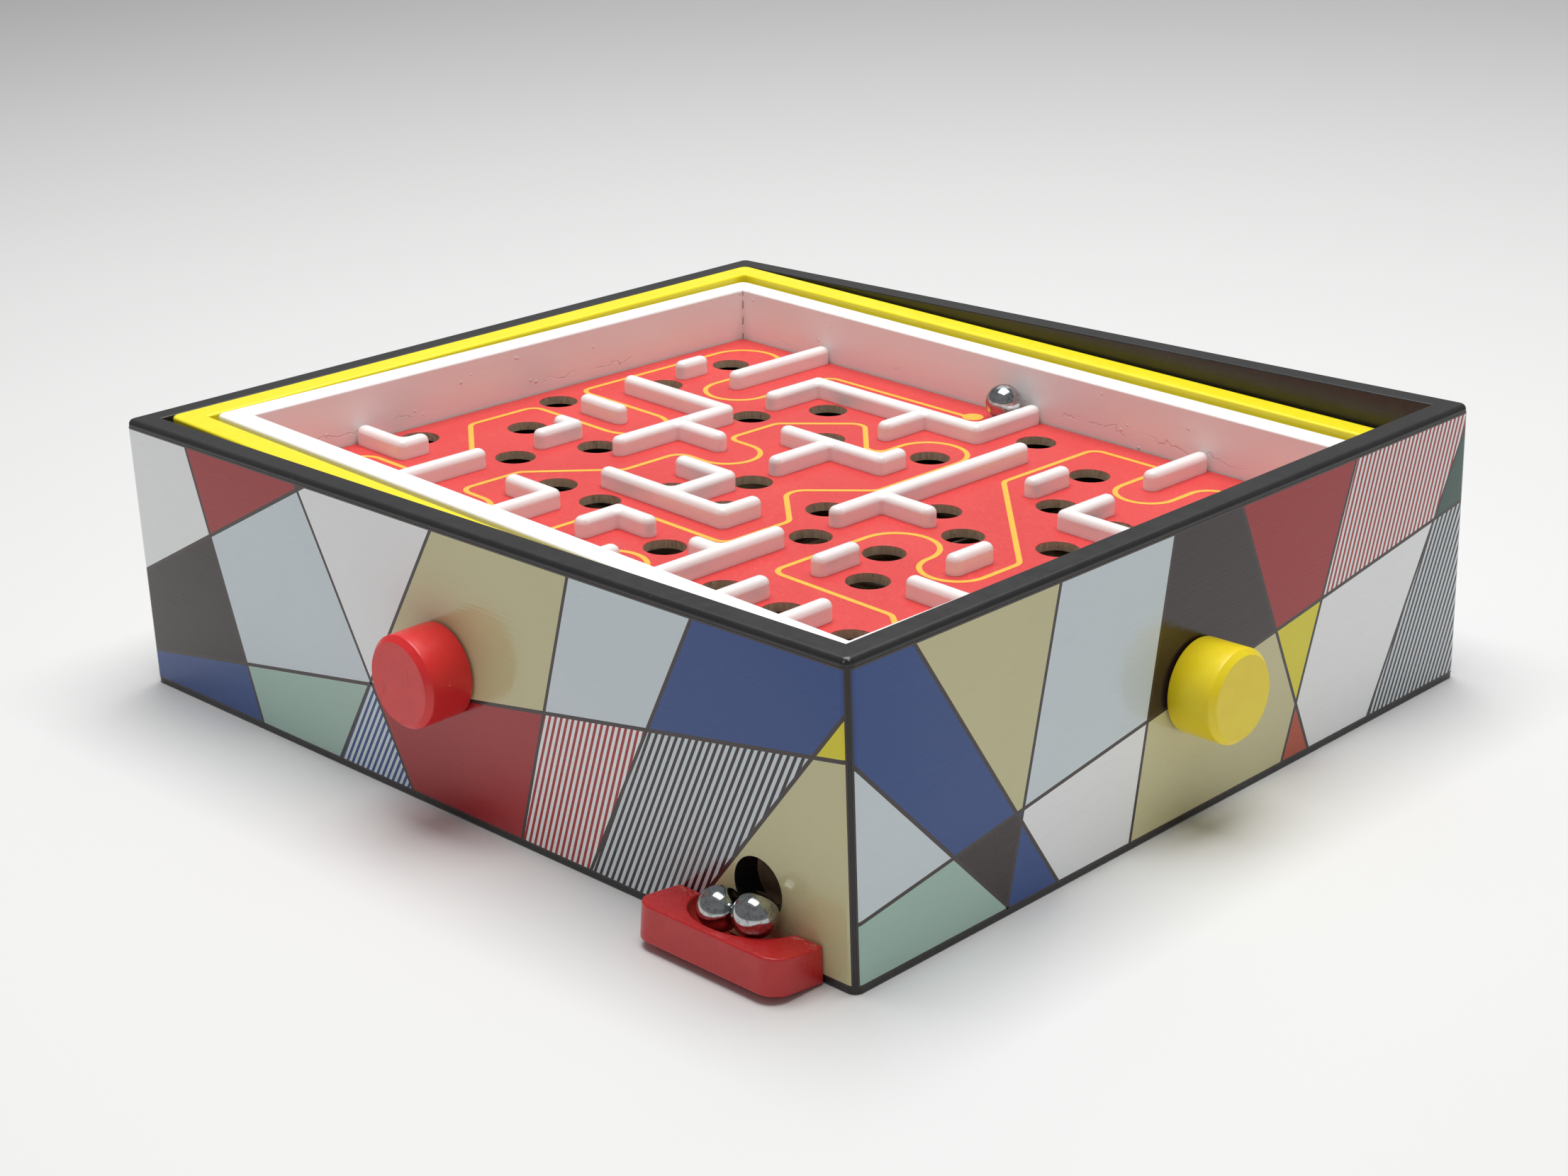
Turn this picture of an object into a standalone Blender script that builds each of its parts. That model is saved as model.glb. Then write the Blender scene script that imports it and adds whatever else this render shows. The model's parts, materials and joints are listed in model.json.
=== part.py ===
"""Tilt maze game: a box with two nested tilting frames, a holed maze board,
two knob shafts that tilt the frames through cords, a ball return and a ball tray.

Lengths are in millimetres in this file; MM turns them into metres as each shape is made.
The origin is the centre of the box's underside.  +Z is up, -Y is the front, where the
player sits, and +X is the right-hand side, where the second knob is.
"""

import math

import bmesh
import bpy
from mathutils import Matrix, Vector

MM = 0.001
GAP = 0.3                      # space left between neighbouring solids

# Box
BOX_W, BOX_D, BOX_H = 330.0, 286.0, 93.5
PANEL = 8.6                    # thickness of the four upright panels
BASE = 4.0                     # thickness of the flat bottom
INNER_W = BOX_W - 2 * PANEL
INNER_D = BOX_D - 2 * PANEL

# Ball return: a thin floor that falls to the front right, and the hole it leads to
FLOOR = 3.0
FLOOR_SLOPE = math.radians(1.0)
OUTLET_X, OUTLET_Z, OUTLET_R = 130.0, 19.8, 9.0
FLOOR_LIP_Z = 10.9             # top of the floor just inside the outlet

# Ball tray
TRAY_X, TRAY_W, TRAY_DEPTH, TRAY_H = 126.7, 54.6, 19.0, 10.8
TRAY_BURY = 4.0                # reach behind the panel face before the back is cut square
TRAY_TILT = math.radians(7.0)
TRAY_CORNER = 6.5
SCOOP_X = 126.0
SCOOP_SEMI = (17.8, 15.0, 8.8)  # half width, reach and depth of the dished scoop

# Tilting frames
PIVOT_Z = 75.0
OUTER_W, OUTER_D, OUTER_RAIL = 309.8, 265.0, 8.9
OUTER_TOP, OUTER_BOTTOM = 88.0 - PIVOT_Z, 67.5 - PIVOT_Z
WHITE_W, WHITE_D, WHITE_RAIL = 289.6, 243.2, 9.0
WHITE_TOP, WHITE_BOTTOM = 87.0 - PIVOT_Z, 62.5 - PIVOT_Z
OUTER_TILT = math.radians(2.3)   # right side down
INNER_TILT = math.radians(-0.6)  # back side down

# Maze board, measured from the middle of the white frame
BOARD_TOP = 67.5 - PIVOT_Z
BOARD = 3.0                    # thickness
BOARD_W = WHITE_W - 2 * WHITE_RAIL - 2 * GAP
BOARD_D = WHITE_D - 2 * WHITE_RAIL - 2 * GAP
HOLE_R = 6.8
WALL_WIDTH, WALL_HEIGHT = 5.5, 6.5
WALL_CORNER, WALL_CROWN = 2.3, 1.9   # radius of the upright corners and of the top edge
RAIL_END_X = BOARD_W / 2 - WALL_WIDTH / 2
RAIL_END_Y = BOARD_D / 2 - WALL_WIDTH / 2

# Knobs, shafts and pivot pins
KNOB_R, KNOB_LENGTH, KNOB_GAP = 14.4, 16.2, 0.7
KNOB_BEVEL, KNOB_BACK_BEVEL = 1.5, 0.8
KNOB_BULGE = 0.35              # how near its corner the middle of the front bevel stays
SHAFT_R, SHAFT_HOLE_R = 2.5, 2.9
FRONT_SHAFT_Z, SIDE_SHAFT_Z = 48.5, 42.5
SHAFT_IN_KNOB, SHAFT_IN_PANEL = 11.0, 5.0
COLLAR_R, COLLAR_LENGTH, COLLAR_GAP = 5.0, 3.0, 0.5
PIN_R, PIN_HOLE_R, PIN_LENGTH, PIN_IN_PANEL = 2.0, 2.4, 13.6, 5.5
PANEL_PIN_SEAT, RAIL_PIN_SEAT = 6.0, 6.5   # depth of the blind holes for the pins

# Drive cords, their springs and their guide eyes
CORD_R = 0.5
CORD_WINDING_R = SHAFT_R + CORD_R + GAP
CORD_TURNS, CORD_PITCH = 3, 1.5
OUTER_CORD_Y, INNER_CORD_X = -24.0, 16.0
# How a cord turns at its eye: distance in from the eye's middle and height from it
CORD_BEND = ((0.1, 0.0), (0.5, -1.1), (1.3, -1.7), (2.6, -1.9))
EYE_Z, EYE_RING_R, EYE_WIRE_R, EYE_PILOT, EYE_SHANK = 33.0, 3.0, 0.7, 5.0, 4.0
OUTER_EYE_IN, INNER_EYE_IN = 5.4, 8.4   # from the panel's inner face to the eye's middle
EYE_OPENING = math.radians(16)          # gap left in the eye's ring
EYE_NECK = 0.5                          # straight wire between the panel and the ring
CORD_LEAD = 2.0                         # the cord comes down straight this far above its eye
CORD_HANG = 0.8                         # from a rail's underside to a cord's or spring's end
SPRING_R, SPRING_WIRE_R, SPRING_TURNS, SPRING_PITCH = 1.9, 0.35, 7, 1.3

# Steel balls
BALL_R = 6.35
BOARD_BALL = (3.2, 105.4)                # on the board, beside the start of the route
TRAY_BALLS = ((122.5, -150.2, 14.0), (135.3, -149.5, 16.2))

# Holes of the maze board: centres
HOLES = (
    (-113, 84), (-48, 69.5), (-62, 45), (-111.5, 48.5), (-26, 45.5), (27.5, 94.5),
    (13, 56), (62.5, 80), (74, 49), (51, 19), (99, 19), (99.5, 45.5),
    (71, 7), (-123.5, 8), (-11.5, -4), (24, -5.5), (-108, -19.5), (-75, -16),
    (38, -27), (64, -21.5), (76.5, -42), (-86, -43), (-125, -53.5), (-54.5, -51.5),
    (-32.5, -52), (13, -65.5), (50.5, -76.5), (75.5, -76.5), (103.5, -77.5), (-24.5, -27.5),
    (0.5, -27.5), (-105, -91), (-61, -91), (-9, -97), (88, -97), (121, -12),
)

# Maze walls: straight strokes between the ends of their centre lines
WALLS = (
    ((-63, 80, 12.5, 80), (12.5, 80, 12.5, RAIL_END_Y), (-63, 57, -63, 80), (-11.5, 60.5, -11.5, 80)),
    ((-90.5, 65.5, -90.5, RAIL_END_Y),),
    ((-113.5, 60, -113.5, 68.5),),
    ((-112.5, 33.75, -63.5, 33.75), (-63.5, -15.5, -63.5, 33.75), (-63.5, 11.25, -43.5, 11.25)),
    ((-31, 32.5, 12, 32.5), (12, 32.5, 12, 41), (-11.5, 7.5, -11.5, 32.5)),
    ((-106.5, 7.5, -90, 7.5),),
    ((-94.5, -15, -88, -15), (-88, -29.5, -88, -15)),
    ((-32.5, -15, -12, -15), (-12, -40, -12, -15), (-41.5, -40, 12, -40), (12, -40, 12, -27)),
    ((36.75, -13.75, 36.75, 74.5), (36.75, 6.25, 56.75, 6.25)),
    ((62, 51.25, 62, 65.5),),
    ((85, 84, 85, RAIL_END_Y),),
    ((89.5, 34.5, 89.5, 54.5), (89.5, 34.5, RAIL_END_X, 34.5)),
    ((90.5, -19, 90.5, -5.75),),
    ((62.5, -48, 62.5, -34.75),),
    ((95, -41.5, RAIL_END_X, -41.5),),
    ((36.75, -91.5, 36.75, -41.25), (26.5, -64.5, 36.75, -64.5)),
    ((-12.25, -62, 1.25, -62), (-12.25, -76.5, -12.25, -62)),
    ((-57.5, -67, -38.75, -67), (-38.75, -RAIL_END_Y, -38.75, -67)),
    ((-86.5, -91.5, -86.5, -58.75),),
    ((-RAIL_END_X, -70.25, -112.25, -70.25), (-112.25, -70.25, -112.25, -62.75)),
    ((63, -91.5, 63, -73.75),),
    ((88.5, -91.5, 88.5, -73.75),),
    ((12.75, -RAIL_END_Y, 12.75, -87.5),),
)

# Colours: base colour, roughness, metallic
FINISHES = {
    "black_lacquer": ((0.035, 0.033, 0.032), 0.45, 0.0),
    "hardboard": ((0.30, 0.19, 0.11), 0.80, 0.0),
    "yellow_paint": ((0.95, 0.80, 0.05), 0.35, 0.0),
    "white_paint": ((0.88, 0.86, 0.83), 0.40, 0.0),
    "board_red": ((0.80, 0.11, 0.10), 0.40, 0.0),
    "wall_white": ((0.90, 0.88, 0.86), 0.25, 0.0),
    "knob_red": ((0.75, 0.03, 0.02), 0.35, 0.0),
    "knob_yellow": ((0.95, 0.75, 0.03), 0.35, 0.0),
    "tray_red": ((0.72, 0.04, 0.03), 0.40, 0.0),
    "steel": ((0.60, 0.60, 0.61), 0.20, 1.0),
    "cord": ((0.62, 0.58, 0.50), 0.85, 0.0),
}


def clear_scene():
    for obj in list(bpy.data.objects):
        bpy.data.objects.remove(obj, do_unlink=True)


def make_collection(name):
    collection = bpy.data.collections.new(name)
    bpy.context.scene.collection.children.link(collection)
    return collection


def make_material(name):
    colour, roughness, metallic = FINISHES[name]
    material = bpy.data.materials.new(name)
    material.use_nodes = True
    shader = material.node_tree.nodes["Principled BSDF"]
    shader.inputs["Base Color"].default_value = (*colour, 1.0)
    shader.inputs["Roughness"].default_value = roughness
    shader.inputs["Metallic"].default_value = metallic
    return material


def make_empty(name, location, rotation, parent=None):
    empty = bpy.data.objects.new(name, None)
    empty.location = Vector(location) * MM
    empty.rotation_euler = rotation
    empty.parent = parent
    PARTS.objects.link(empty)
    return empty


def place(name, data, finish, location=(0, 0, 0), rotation=(0, 0, 0), parent=None):
    """Put one sub-part in the game's collection."""
    obj = bpy.data.objects.new(name, data)
    obj.data.materials.append(MATERIALS[finish])
    obj.location = Vector(location) * MM
    obj.rotation_euler = rotation
    obj.parent = parent
    PARTS.objects.link(obj)
    return obj


def cut(target, name, data, location=(0, 0, 0), rotation=(0, 0, 0), parent=None):
    """Subtract a cutter from a sub-part."""
    cutter = bpy.data.objects.new(name, data)
    cutter.location = Vector(location) * MM
    cutter.rotation_euler = rotation
    cutter.parent = parent
    cutter.hide_render = True
    cutter.display_type = "WIRE"
    CUTTERS.objects.link(cutter)
    modifier = target.modifiers.new(name, "BOOLEAN")
    modifier.operation = "DIFFERENCE"
    modifier.solver = "EXACT"
    modifier.object = cutter


def mesh_from(bm, name, smooth_angle=None):
    mesh = bpy.data.meshes.new(name)
    bm.to_mesh(mesh)
    bm.free()
    if smooth_angle is not None:
        mesh.shade_smooth()
        mesh.set_sharp_from_angle(angle=math.radians(smooth_angle))
    return mesh


def is_upright(edge):
    first, second = (vert.co for vert in edge.verts)
    return abs(first.z - second.z) > 0.5 * (first - second).length


def block_mesh(name, low, high):
    """A box between two corners."""
    size = Vector(high) - Vector(low)
    middle = (Vector(high) + Vector(low)) / 2
    matrix = Matrix.Translation(middle * MM) @ Matrix.Diagonal((*(size * MM), 1))
    bm = bmesh.new()
    bmesh.ops.create_cube(bm, size=1.0, matrix=matrix)
    return mesh_from(bm, name)


def rod_mesh(name, radius, low, high, sides=24):
    """A cylinder on the Z axis between two heights."""
    bm = bmesh.new()
    bmesh.ops.create_cone(
        bm, cap_ends=True, segments=sides, radius1=radius * MM, radius2=radius * MM,
        depth=(high - low) * MM, matrix=Matrix.Translation((0, 0, (high + low) / 2 * MM)))
    return mesh_from(bm, name, 40)


def ball_mesh(name, radius):
    bm = bmesh.new()
    bmesh.ops.create_uvsphere(bm, u_segments=20, v_segments=10, radius=radius * MM)
    return mesh_from(bm, name, 60)


def turned(name, profile, finish, location, rotation, parent, steps=28):
    """A shape turned about its own Z axis from a profile of (radius, height) points."""
    mesh = bpy.data.meshes.new(name)
    points = [(radius * MM, 0, height * MM) for radius, height in profile]
    mesh.from_pydata(points, [(i, i + 1) for i in range(len(points) - 1)], [])
    obj = place(name, mesh, finish, location, rotation, parent)
    screw = obj.modifiers.new("turn", "SCREW")
    screw.axis = "Z"
    screw.steps = steps
    screw.render_steps = steps
    screw.use_merge_vertices = True
    screw.merge_threshold = 0.00001
    screw.use_smooth_shade = True
    return obj


def wire(name, points, radius, finish, parent=None, sides=2):
    """A round wire along points, as a curve with filled ends; sides is its bevel resolution."""
    curve = bpy.data.curves.new(name, "CURVE")
    curve.dimensions = "3D"
    spline = curve.splines.new("POLY")
    spline.points.add(len(points) - 1)
    for point, target in zip(spline.points, points):
        point.co = (*(Vector(target) * MM), 1)
    curve.bevel_depth = radius * MM
    curve.bevel_resolution = sides
    curve.use_fill_caps = True
    return place(name, curve, finish, parent=parent)


# The box ---------------------------------------------------------------------------------

def make_box():
    inside_x, inside_y = INNER_W / 2, INNER_D / 2
    front = place("front_panel", block_mesh(
        "front_panel", (-BOX_W / 2, -BOX_D / 2, 0), (BOX_W / 2, -inside_y, BOX_H)), "black_lacquer")
    back = place("back_panel", block_mesh(
        "back_panel", (-BOX_W / 2, inside_y, 0), (BOX_W / 2, BOX_D / 2, BOX_H)), "black_lacquer")
    side_y = inside_y - GAP
    left = place("left_panel", block_mesh(
        "left_panel", (-BOX_W / 2, -side_y, 0), (-inside_x, side_y, BOX_H)), "black_lacquer")
    right = place("right_panel", block_mesh(
        "right_panel", (inside_x, -side_y, 0), (BOX_W / 2, side_y, BOX_H)), "black_lacquer")
    edge_x, edge_y = inside_x - GAP, inside_y - GAP
    place("base_panel", block_mesh("base_panel", (-edge_x, -edge_y, 0), (edge_x, edge_y, BASE)),
          "hardboard")

    along_y = (math.radians(90), 0, 0)
    along_x = (0, math.radians(90), 0)
    outlet = rod_mesh("outlet", OUTLET_R, -BOX_D, BOX_D, 32)
    cut(front, "outlet_cutter", outlet, (OUTLET_X, -BOX_D / 2, OUTLET_Z), along_y)

    through = rod_mesh("shaft_hole", SHAFT_HOLE_R, -PANEL, PANEL, 20)
    blind = rod_mesh("shaft_seat", SHAFT_HOLE_R, -SHAFT_IN_PANEL - GAP, SHAFT_IN_PANEL + GAP, 20)
    cut(front, "front_shaft_hole", through, (0, -(BOX_D - PANEL) / 2, FRONT_SHAFT_Z), along_y)
    cut(back, "front_shaft_seat", blind, (0, inside_y, FRONT_SHAFT_Z), along_y)
    cut(right, "side_shaft_hole", through, ((BOX_W - PANEL) / 2, 0, SIDE_SHAFT_Z), along_x)
    cut(left, "side_shaft_seat", blind, (-inside_x, 0, SIDE_SHAFT_Z), along_x)

    pin_seat = rod_mesh("pin_seat", PIN_HOLE_R, -PANEL_PIN_SEAT, PANEL_PIN_SEAT, 16)
    cut(front, "front_pin_seat", pin_seat, (0, -inside_y, PIVOT_Z), along_y)
    cut(back, "back_pin_seat", pin_seat, (0, inside_y, PIVOT_Z), along_y)

    pilot = rod_mesh("eye_pilot", EYE_WIRE_R + GAP, -EYE_PILOT, EYE_PILOT, 12)
    cut(left, "left_eye_pilot", pilot, (-inside_x, OUTER_CORD_Y, EYE_Z), along_x)
    cut(right, "right_eye_pilot", pilot, (inside_x, OUTER_CORD_Y, EYE_Z), along_x)
    cut(front, "front_eye_pilot", pilot, (INNER_CORD_X, -inside_y, EYE_Z), along_y)
    cut(back, "back_eye_pilot", pilot, (INNER_CORD_X, inside_y, EYE_Z), along_y)


def floor_height(x, y):
    """Height of the ball return's upper face."""
    slope = math.tan(FLOOR_SLOPE)
    return FLOOR_LIP_Z + slope * (OUTLET_X - x) + slope * (y + INNER_D / 2)


def make_return_floor():
    half_x, half_y = INNER_W / 2 - 1.5 * GAP, INNER_D / 2 - 1.5 * GAP
    floor = block_mesh("ball_return_floor", (-half_x, -half_y, -FLOOR), (half_x, half_y, 0))
    place("ball_return_floor", floor, "hardboard", (0, 0, floor_height(0, 0)),
          (FLOOR_SLOPE, FLOOR_SLOPE, 0))


def make_tray():
    """A block with round front corners, leaning back to the box, with a dished scoop."""
    bm = bmesh.new()
    matrix = Matrix.Translation((0, (TRAY_BURY - TRAY_DEPTH) / 2 * MM, TRAY_H / 2 * MM))
    matrix = matrix @ Matrix.Diagonal((TRAY_W * MM, (TRAY_DEPTH + TRAY_BURY) * MM, TRAY_H * MM, 1))
    bmesh.ops.create_cube(bm, size=1.0, matrix=matrix)
    front_edges = [edge for edge in bm.edges if is_upright(edge) and edge.verts[0].co.y < 0]
    bmesh.ops.bevel(bm, geom=front_edges, offset=TRAY_CORNER * MM, segments=5, profile=0.5,
                    affect="EDGES", clamp_overlap=True)
    heel = (TRAY_X, -BOX_D / 2 - GAP, GAP)
    tray = place("ball_tray", mesh_from(bm, "ball_tray", 40), "tray_red", heel, (-TRAY_TILT, 0, 0))

    backing = block_mesh("tray_backing", (-TRAY_W, 0, -BOX_H), (TRAY_W, BOX_D, BOX_H))
    cut(tray, "tray_backing", backing, (TRAY_X, -BOX_D / 2 - GAP, 0))
    bm = bmesh.new()
    shape = Matrix.Diagonal((*(Vector(SCOOP_SEMI) * MM), 1))
    bmesh.ops.create_uvsphere(bm, u_segments=28, v_segments=14, radius=1.0, matrix=shape)
    top = TRAY_H * math.cos(TRAY_TILT) + GAP
    cut(tray, "tray_scoop", mesh_from(bm, "tray_scoop"), (SCOOP_X, -BOX_D / 2, top),
        (-TRAY_TILT, 0, 0))


# The tilting frames ----------------------------------------------------------------------

def make_rails(prefix, width, depth, rail, low, high, finish, parent):
    """Four rails of a rectangular frame: front and back run the full width."""
    half_x, half_y = width / 2, depth / 2
    side_y = half_y - rail - GAP
    spans = {
        "front": ((-half_x, -half_y, low), (half_x, -half_y + rail, high)),
        "back": ((-half_x, half_y - rail, low), (half_x, half_y, high)),
        "left": ((-half_x, -side_y, low), (-half_x + rail, side_y, high)),
        "right": ((half_x - rail, -side_y, low), (half_x, side_y, high)),
    }
    rails = {}
    for side, (corner, opposite) in spans.items():
        name = f"{prefix}_{side}_rail"
        rails[side] = place(name, block_mesh(name, corner, opposite), finish, parent=parent)
    return rails


def make_frames(outer_axis, inner_axis):
    outer = make_rails("outer_frame", OUTER_W, OUTER_D, OUTER_RAIL, OUTER_BOTTOM, OUTER_TOP,
                       "yellow_paint", outer_axis)
    inner = make_rails("inner_frame", WHITE_W, WHITE_D, WHITE_RAIL, WHITE_BOTTOM, WHITE_TOP,
                       "white_paint", inner_axis)
    along_y = (math.radians(90), 0, 0)
    along_x = (0, math.radians(90), 0)
    seat = rod_mesh("rail_pin_seat", PIN_HOLE_R, -RAIL_PIN_SEAT, RAIL_PIN_SEAT, 16)
    for side, sign in (("front", -1), ("back", 1)):
        cut(outer[side], f"outer_{side}_pin_seat", seat, (0, sign * OUTER_D / 2, 0), along_y,
            outer_axis)
        middle = sign * (INNER_D / 2 + PIN_IN_PANEL - PIN_LENGTH / 2)
        place(f"outer_pivot_pin_{side}", rod_mesh("pivot_pin", PIN_R, -PIN_LENGTH / 2,
              PIN_LENGTH / 2, 16), "steel", (0, middle, PIVOT_Z), along_y)
    for side, sign in (("left", -1), ("right", 1)):
        inner_face = OUTER_W / 2 - OUTER_RAIL
        cut(outer[side], f"outer_{side}_pin_seat", seat, (sign * inner_face, 0, 0), along_x,
            outer_axis)
        cut(inner[side], f"inner_{side}_pin_seat", seat, (sign * WHITE_W / 2, 0, 0), along_x,
            inner_axis)
        place(f"inner_pivot_pin_{side}", rod_mesh("pivot_pin", PIN_R, -PIN_LENGTH / 2,
              PIN_LENGTH / 2, 16), "steel", (sign * (inner_face + WHITE_W / 2) / 2, 0, 0), along_x,
              outer_axis)


def make_board(inner_axis):
    board = place("maze_board", block_mesh(
        "maze_board", (-BOARD_W / 2, -BOARD_D / 2, BOARD_TOP - BOARD),
        (BOARD_W / 2, BOARD_D / 2, BOARD_TOP)), "board_red", parent=inner_axis)
    bm = bmesh.new()
    for x, y in HOLES:
        centre = Vector((x, y, BOARD_TOP - BOARD / 2)) * MM
        bmesh.ops.create_cone(bm, cap_ends=True, segments=16, radius1=HOLE_R * MM,
                              radius2=HOLE_R * MM, depth=3 * BOARD * MM,
                              matrix=Matrix.Translation(centre))
    cut(board, "maze_hole_cutter", mesh_from(bm, "maze_holes"), parent=inner_axis)


def wall_mesh(name, strokes):
    """A wall of joined straight strokes, with round corners and a rounded top edge.

    The plan is cut into the cells of a grid through every stroke's sides, and the covered
    cells are joined into one flat face, which is then raised and bevelled."""
    half = WALL_WIDTH / 2
    spans = [(min(x0, x1) - half, min(y0, y1) - half, max(x0, x1) + half, max(y0, y1) + half)
             for x0, y0, x1, y1 in strokes]
    xs = sorted({x for span in spans for x in (span[0], span[2])})
    ys = sorted({y for span in spans for y in (span[1], span[3])})
    bm = bmesh.new()
    corners = {}
    base = BOARD_TOP + GAP

    def corner(x, y):
        if (x, y) not in corners:
            corners[x, y] = bm.verts.new(Vector((x, y, base)) * MM)
        return corners[x, y]

    for left, right in zip(xs, xs[1:]):
        for low, high in zip(ys, ys[1:]):
            x, y = (left + right) / 2, (low + high) / 2
            if any(span[0] < x < span[2] and span[1] < y < span[3] for span in spans):
                bm.faces.new((corner(left, low), corner(right, low),
                              corner(right, high), corner(left, high)))
    inner_edges = [edge for edge in bm.edges if len(edge.link_faces) == 2]
    bmesh.ops.dissolve_edges(bm, edges=inner_edges, use_verts=False)
    straight = [vert for vert in bm.verts if vert.calc_edge_angle(0) < math.radians(1)]
    bmesh.ops.dissolve_verts(bm, verts=straight)
    raised = bmesh.ops.extrude_face_region(bm, geom=list(bm.faces))
    lift = [item for item in raised["geom"] if isinstance(item, bmesh.types.BMVert)]
    bmesh.ops.translate(bm, verts=lift, vec=(0, 0, (WALL_HEIGHT - GAP) * MM))
    bmesh.ops.recalc_face_normals(bm, faces=bm.faces)
    upright = [edge for edge in bm.edges if is_upright(edge)]
    bmesh.ops.bevel(bm, geom=upright, offset=WALL_CORNER * MM, segments=2, profile=0.5,
                    affect="EDGES")
    top = max(vert.co.z for vert in bm.verts)
    rim = [edge for edge in bm.edges if all(top - vert.co.z < 1e-6 for vert in edge.verts)]
    bmesh.ops.bevel(bm, geom=rim, offset=WALL_CROWN * MM, segments=2, profile=0.5,
                    affect="EDGES")
    return mesh_from(bm, name, 50)


def make_walls(inner_axis):
    for number, strokes in enumerate(WALLS, start=1):
        name = f"maze_wall_{number:02d}"
        place(name, wall_mesh(name, strokes), "wall_white", parent=inner_axis)


# Knobs and shafts ------------------------------------------------------------------------

def make_drive(side, finish, axis_empty, face, far):
    """A knob with its shaft and collar; face and far are the distances from the axis
    empty's origin to the panel's outer face and to the end of the shaft."""
    bore = SHAFT_R + GAP
    start = face + KNOB_GAP
    end = start + KNOB_LENGTH
    turned(f"{side}_knob", (
        (0, end), (KNOB_R - KNOB_BEVEL, end),
        (KNOB_R - KNOB_BULGE * KNOB_BEVEL, end - KNOB_BULGE * KNOB_BEVEL),
        (KNOB_R, end - KNOB_BEVEL), (KNOB_R, start + KNOB_BACK_BEVEL),
        (KNOB_R - KNOB_BACK_BEVEL, start), (bore, start),
        (bore, start + SHAFT_IN_KNOB + GAP), (0, start + SHAFT_IN_KNOB + GAP)),
        finish, (0, 0, 0), (0, 0, 0), axis_empty)
    place(f"{side}_shaft", rod_mesh(f"{side}_shaft", SHAFT_R, -far, start + SHAFT_IN_KNOB),
          "steel", parent=axis_empty)
    inside = face - PANEL - COLLAR_GAP
    turned(f"{side}_shaft_collar", (
        (bore, inside), (COLLAR_R, inside), (COLLAR_R, inside - COLLAR_LENGTH),
        (bore, inside - COLLAR_LENGTH), (bore, inside)),
        "steel", (0, 0, 0), (0, 0, 0), axis_empty, 20)


# Cords, springs and eyes -----------------------------------------------------------------

def to_outer(across, z, along):
    """A point of the outer frame's cord: it runs along X in a plane of constant Y."""
    return (across, OUTER_CORD_Y + along, z)


def to_inner(across, z, along):
    """A point of the inner frame's cord: it runs along Y in a plane of constant X."""
    return (INNER_CORD_X + along, across, z)


def cord_side(eye, anchor, anchor_z):
    """One half of a cord from its anchor down through its eye, for the positive side."""
    above = EYE_Z + CORD_LEAD
    bend = [(eye - inward, EYE_Z + rise) for inward, rise in CORD_BEND]
    return [(anchor, anchor_z), ((anchor + eye) / 2, (anchor_z + above) / 2), (eye, above)] + bend


def cord_points(to_space, shaft_z, eye, anchor, negative_z, positive_z):
    """A whole cord: anchor, eye, three turns on the shaft, eye, anchor."""
    low_end = cord_side(eye, anchor, negative_z)
    high_end = cord_side(eye, anchor, positive_z)
    inward, rise = CORD_BEND[-1]
    slope = math.atan2(shaft_z - CORD_WINDING_R - (EYE_Z + rise), eye - inward)
    width = CORD_TURNS * CORD_PITCH
    points = [to_space(-across, z, 0) for across, z in low_end]
    first, last = slope - math.pi / 2, 2 * math.pi * CORD_TURNS - math.pi / 2 - slope
    steps = 12 * CORD_TURNS
    for step in range(steps + 1):
        part = step / steps
        angle = first + (last - first) * part
        points.append(to_space(CORD_WINDING_R * math.cos(angle),
                               shaft_z + CORD_WINDING_R * math.sin(angle),
                               width * (part - 0.5)))
    points += [to_space(across, z, 0) for across, z in reversed(high_end)]
    return points


def eye_points(to_space, sign, wall, eye):
    """A screw eye: a shank out of the panel and a level ring round the cord."""
    points = [to_space(sign * (wall + EYE_SHANK), EYE_Z, 0),
              to_space(sign * (wall - EYE_NECK), EYE_Z, 0)]
    steps = 14
    for step in range(steps + 1):
        angle = EYE_OPENING / 2 + (2 * math.pi - EYE_OPENING) * step / steps
        points.append(to_space(sign * (eye + EYE_RING_R * math.cos(angle)), EYE_Z,
                               EYE_RING_R * math.sin(angle)))
    return points


def spring_points(x, y, top):
    sides = 10
    points = []
    for step in range(sides * SPRING_TURNS + 1):
        angle = 2 * math.pi * step / sides
        points.append((x + SPRING_R * math.cos(angle), y + SPRING_R * math.sin(angle),
                       top - SPRING_PITCH * step / sides))
    return points


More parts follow.
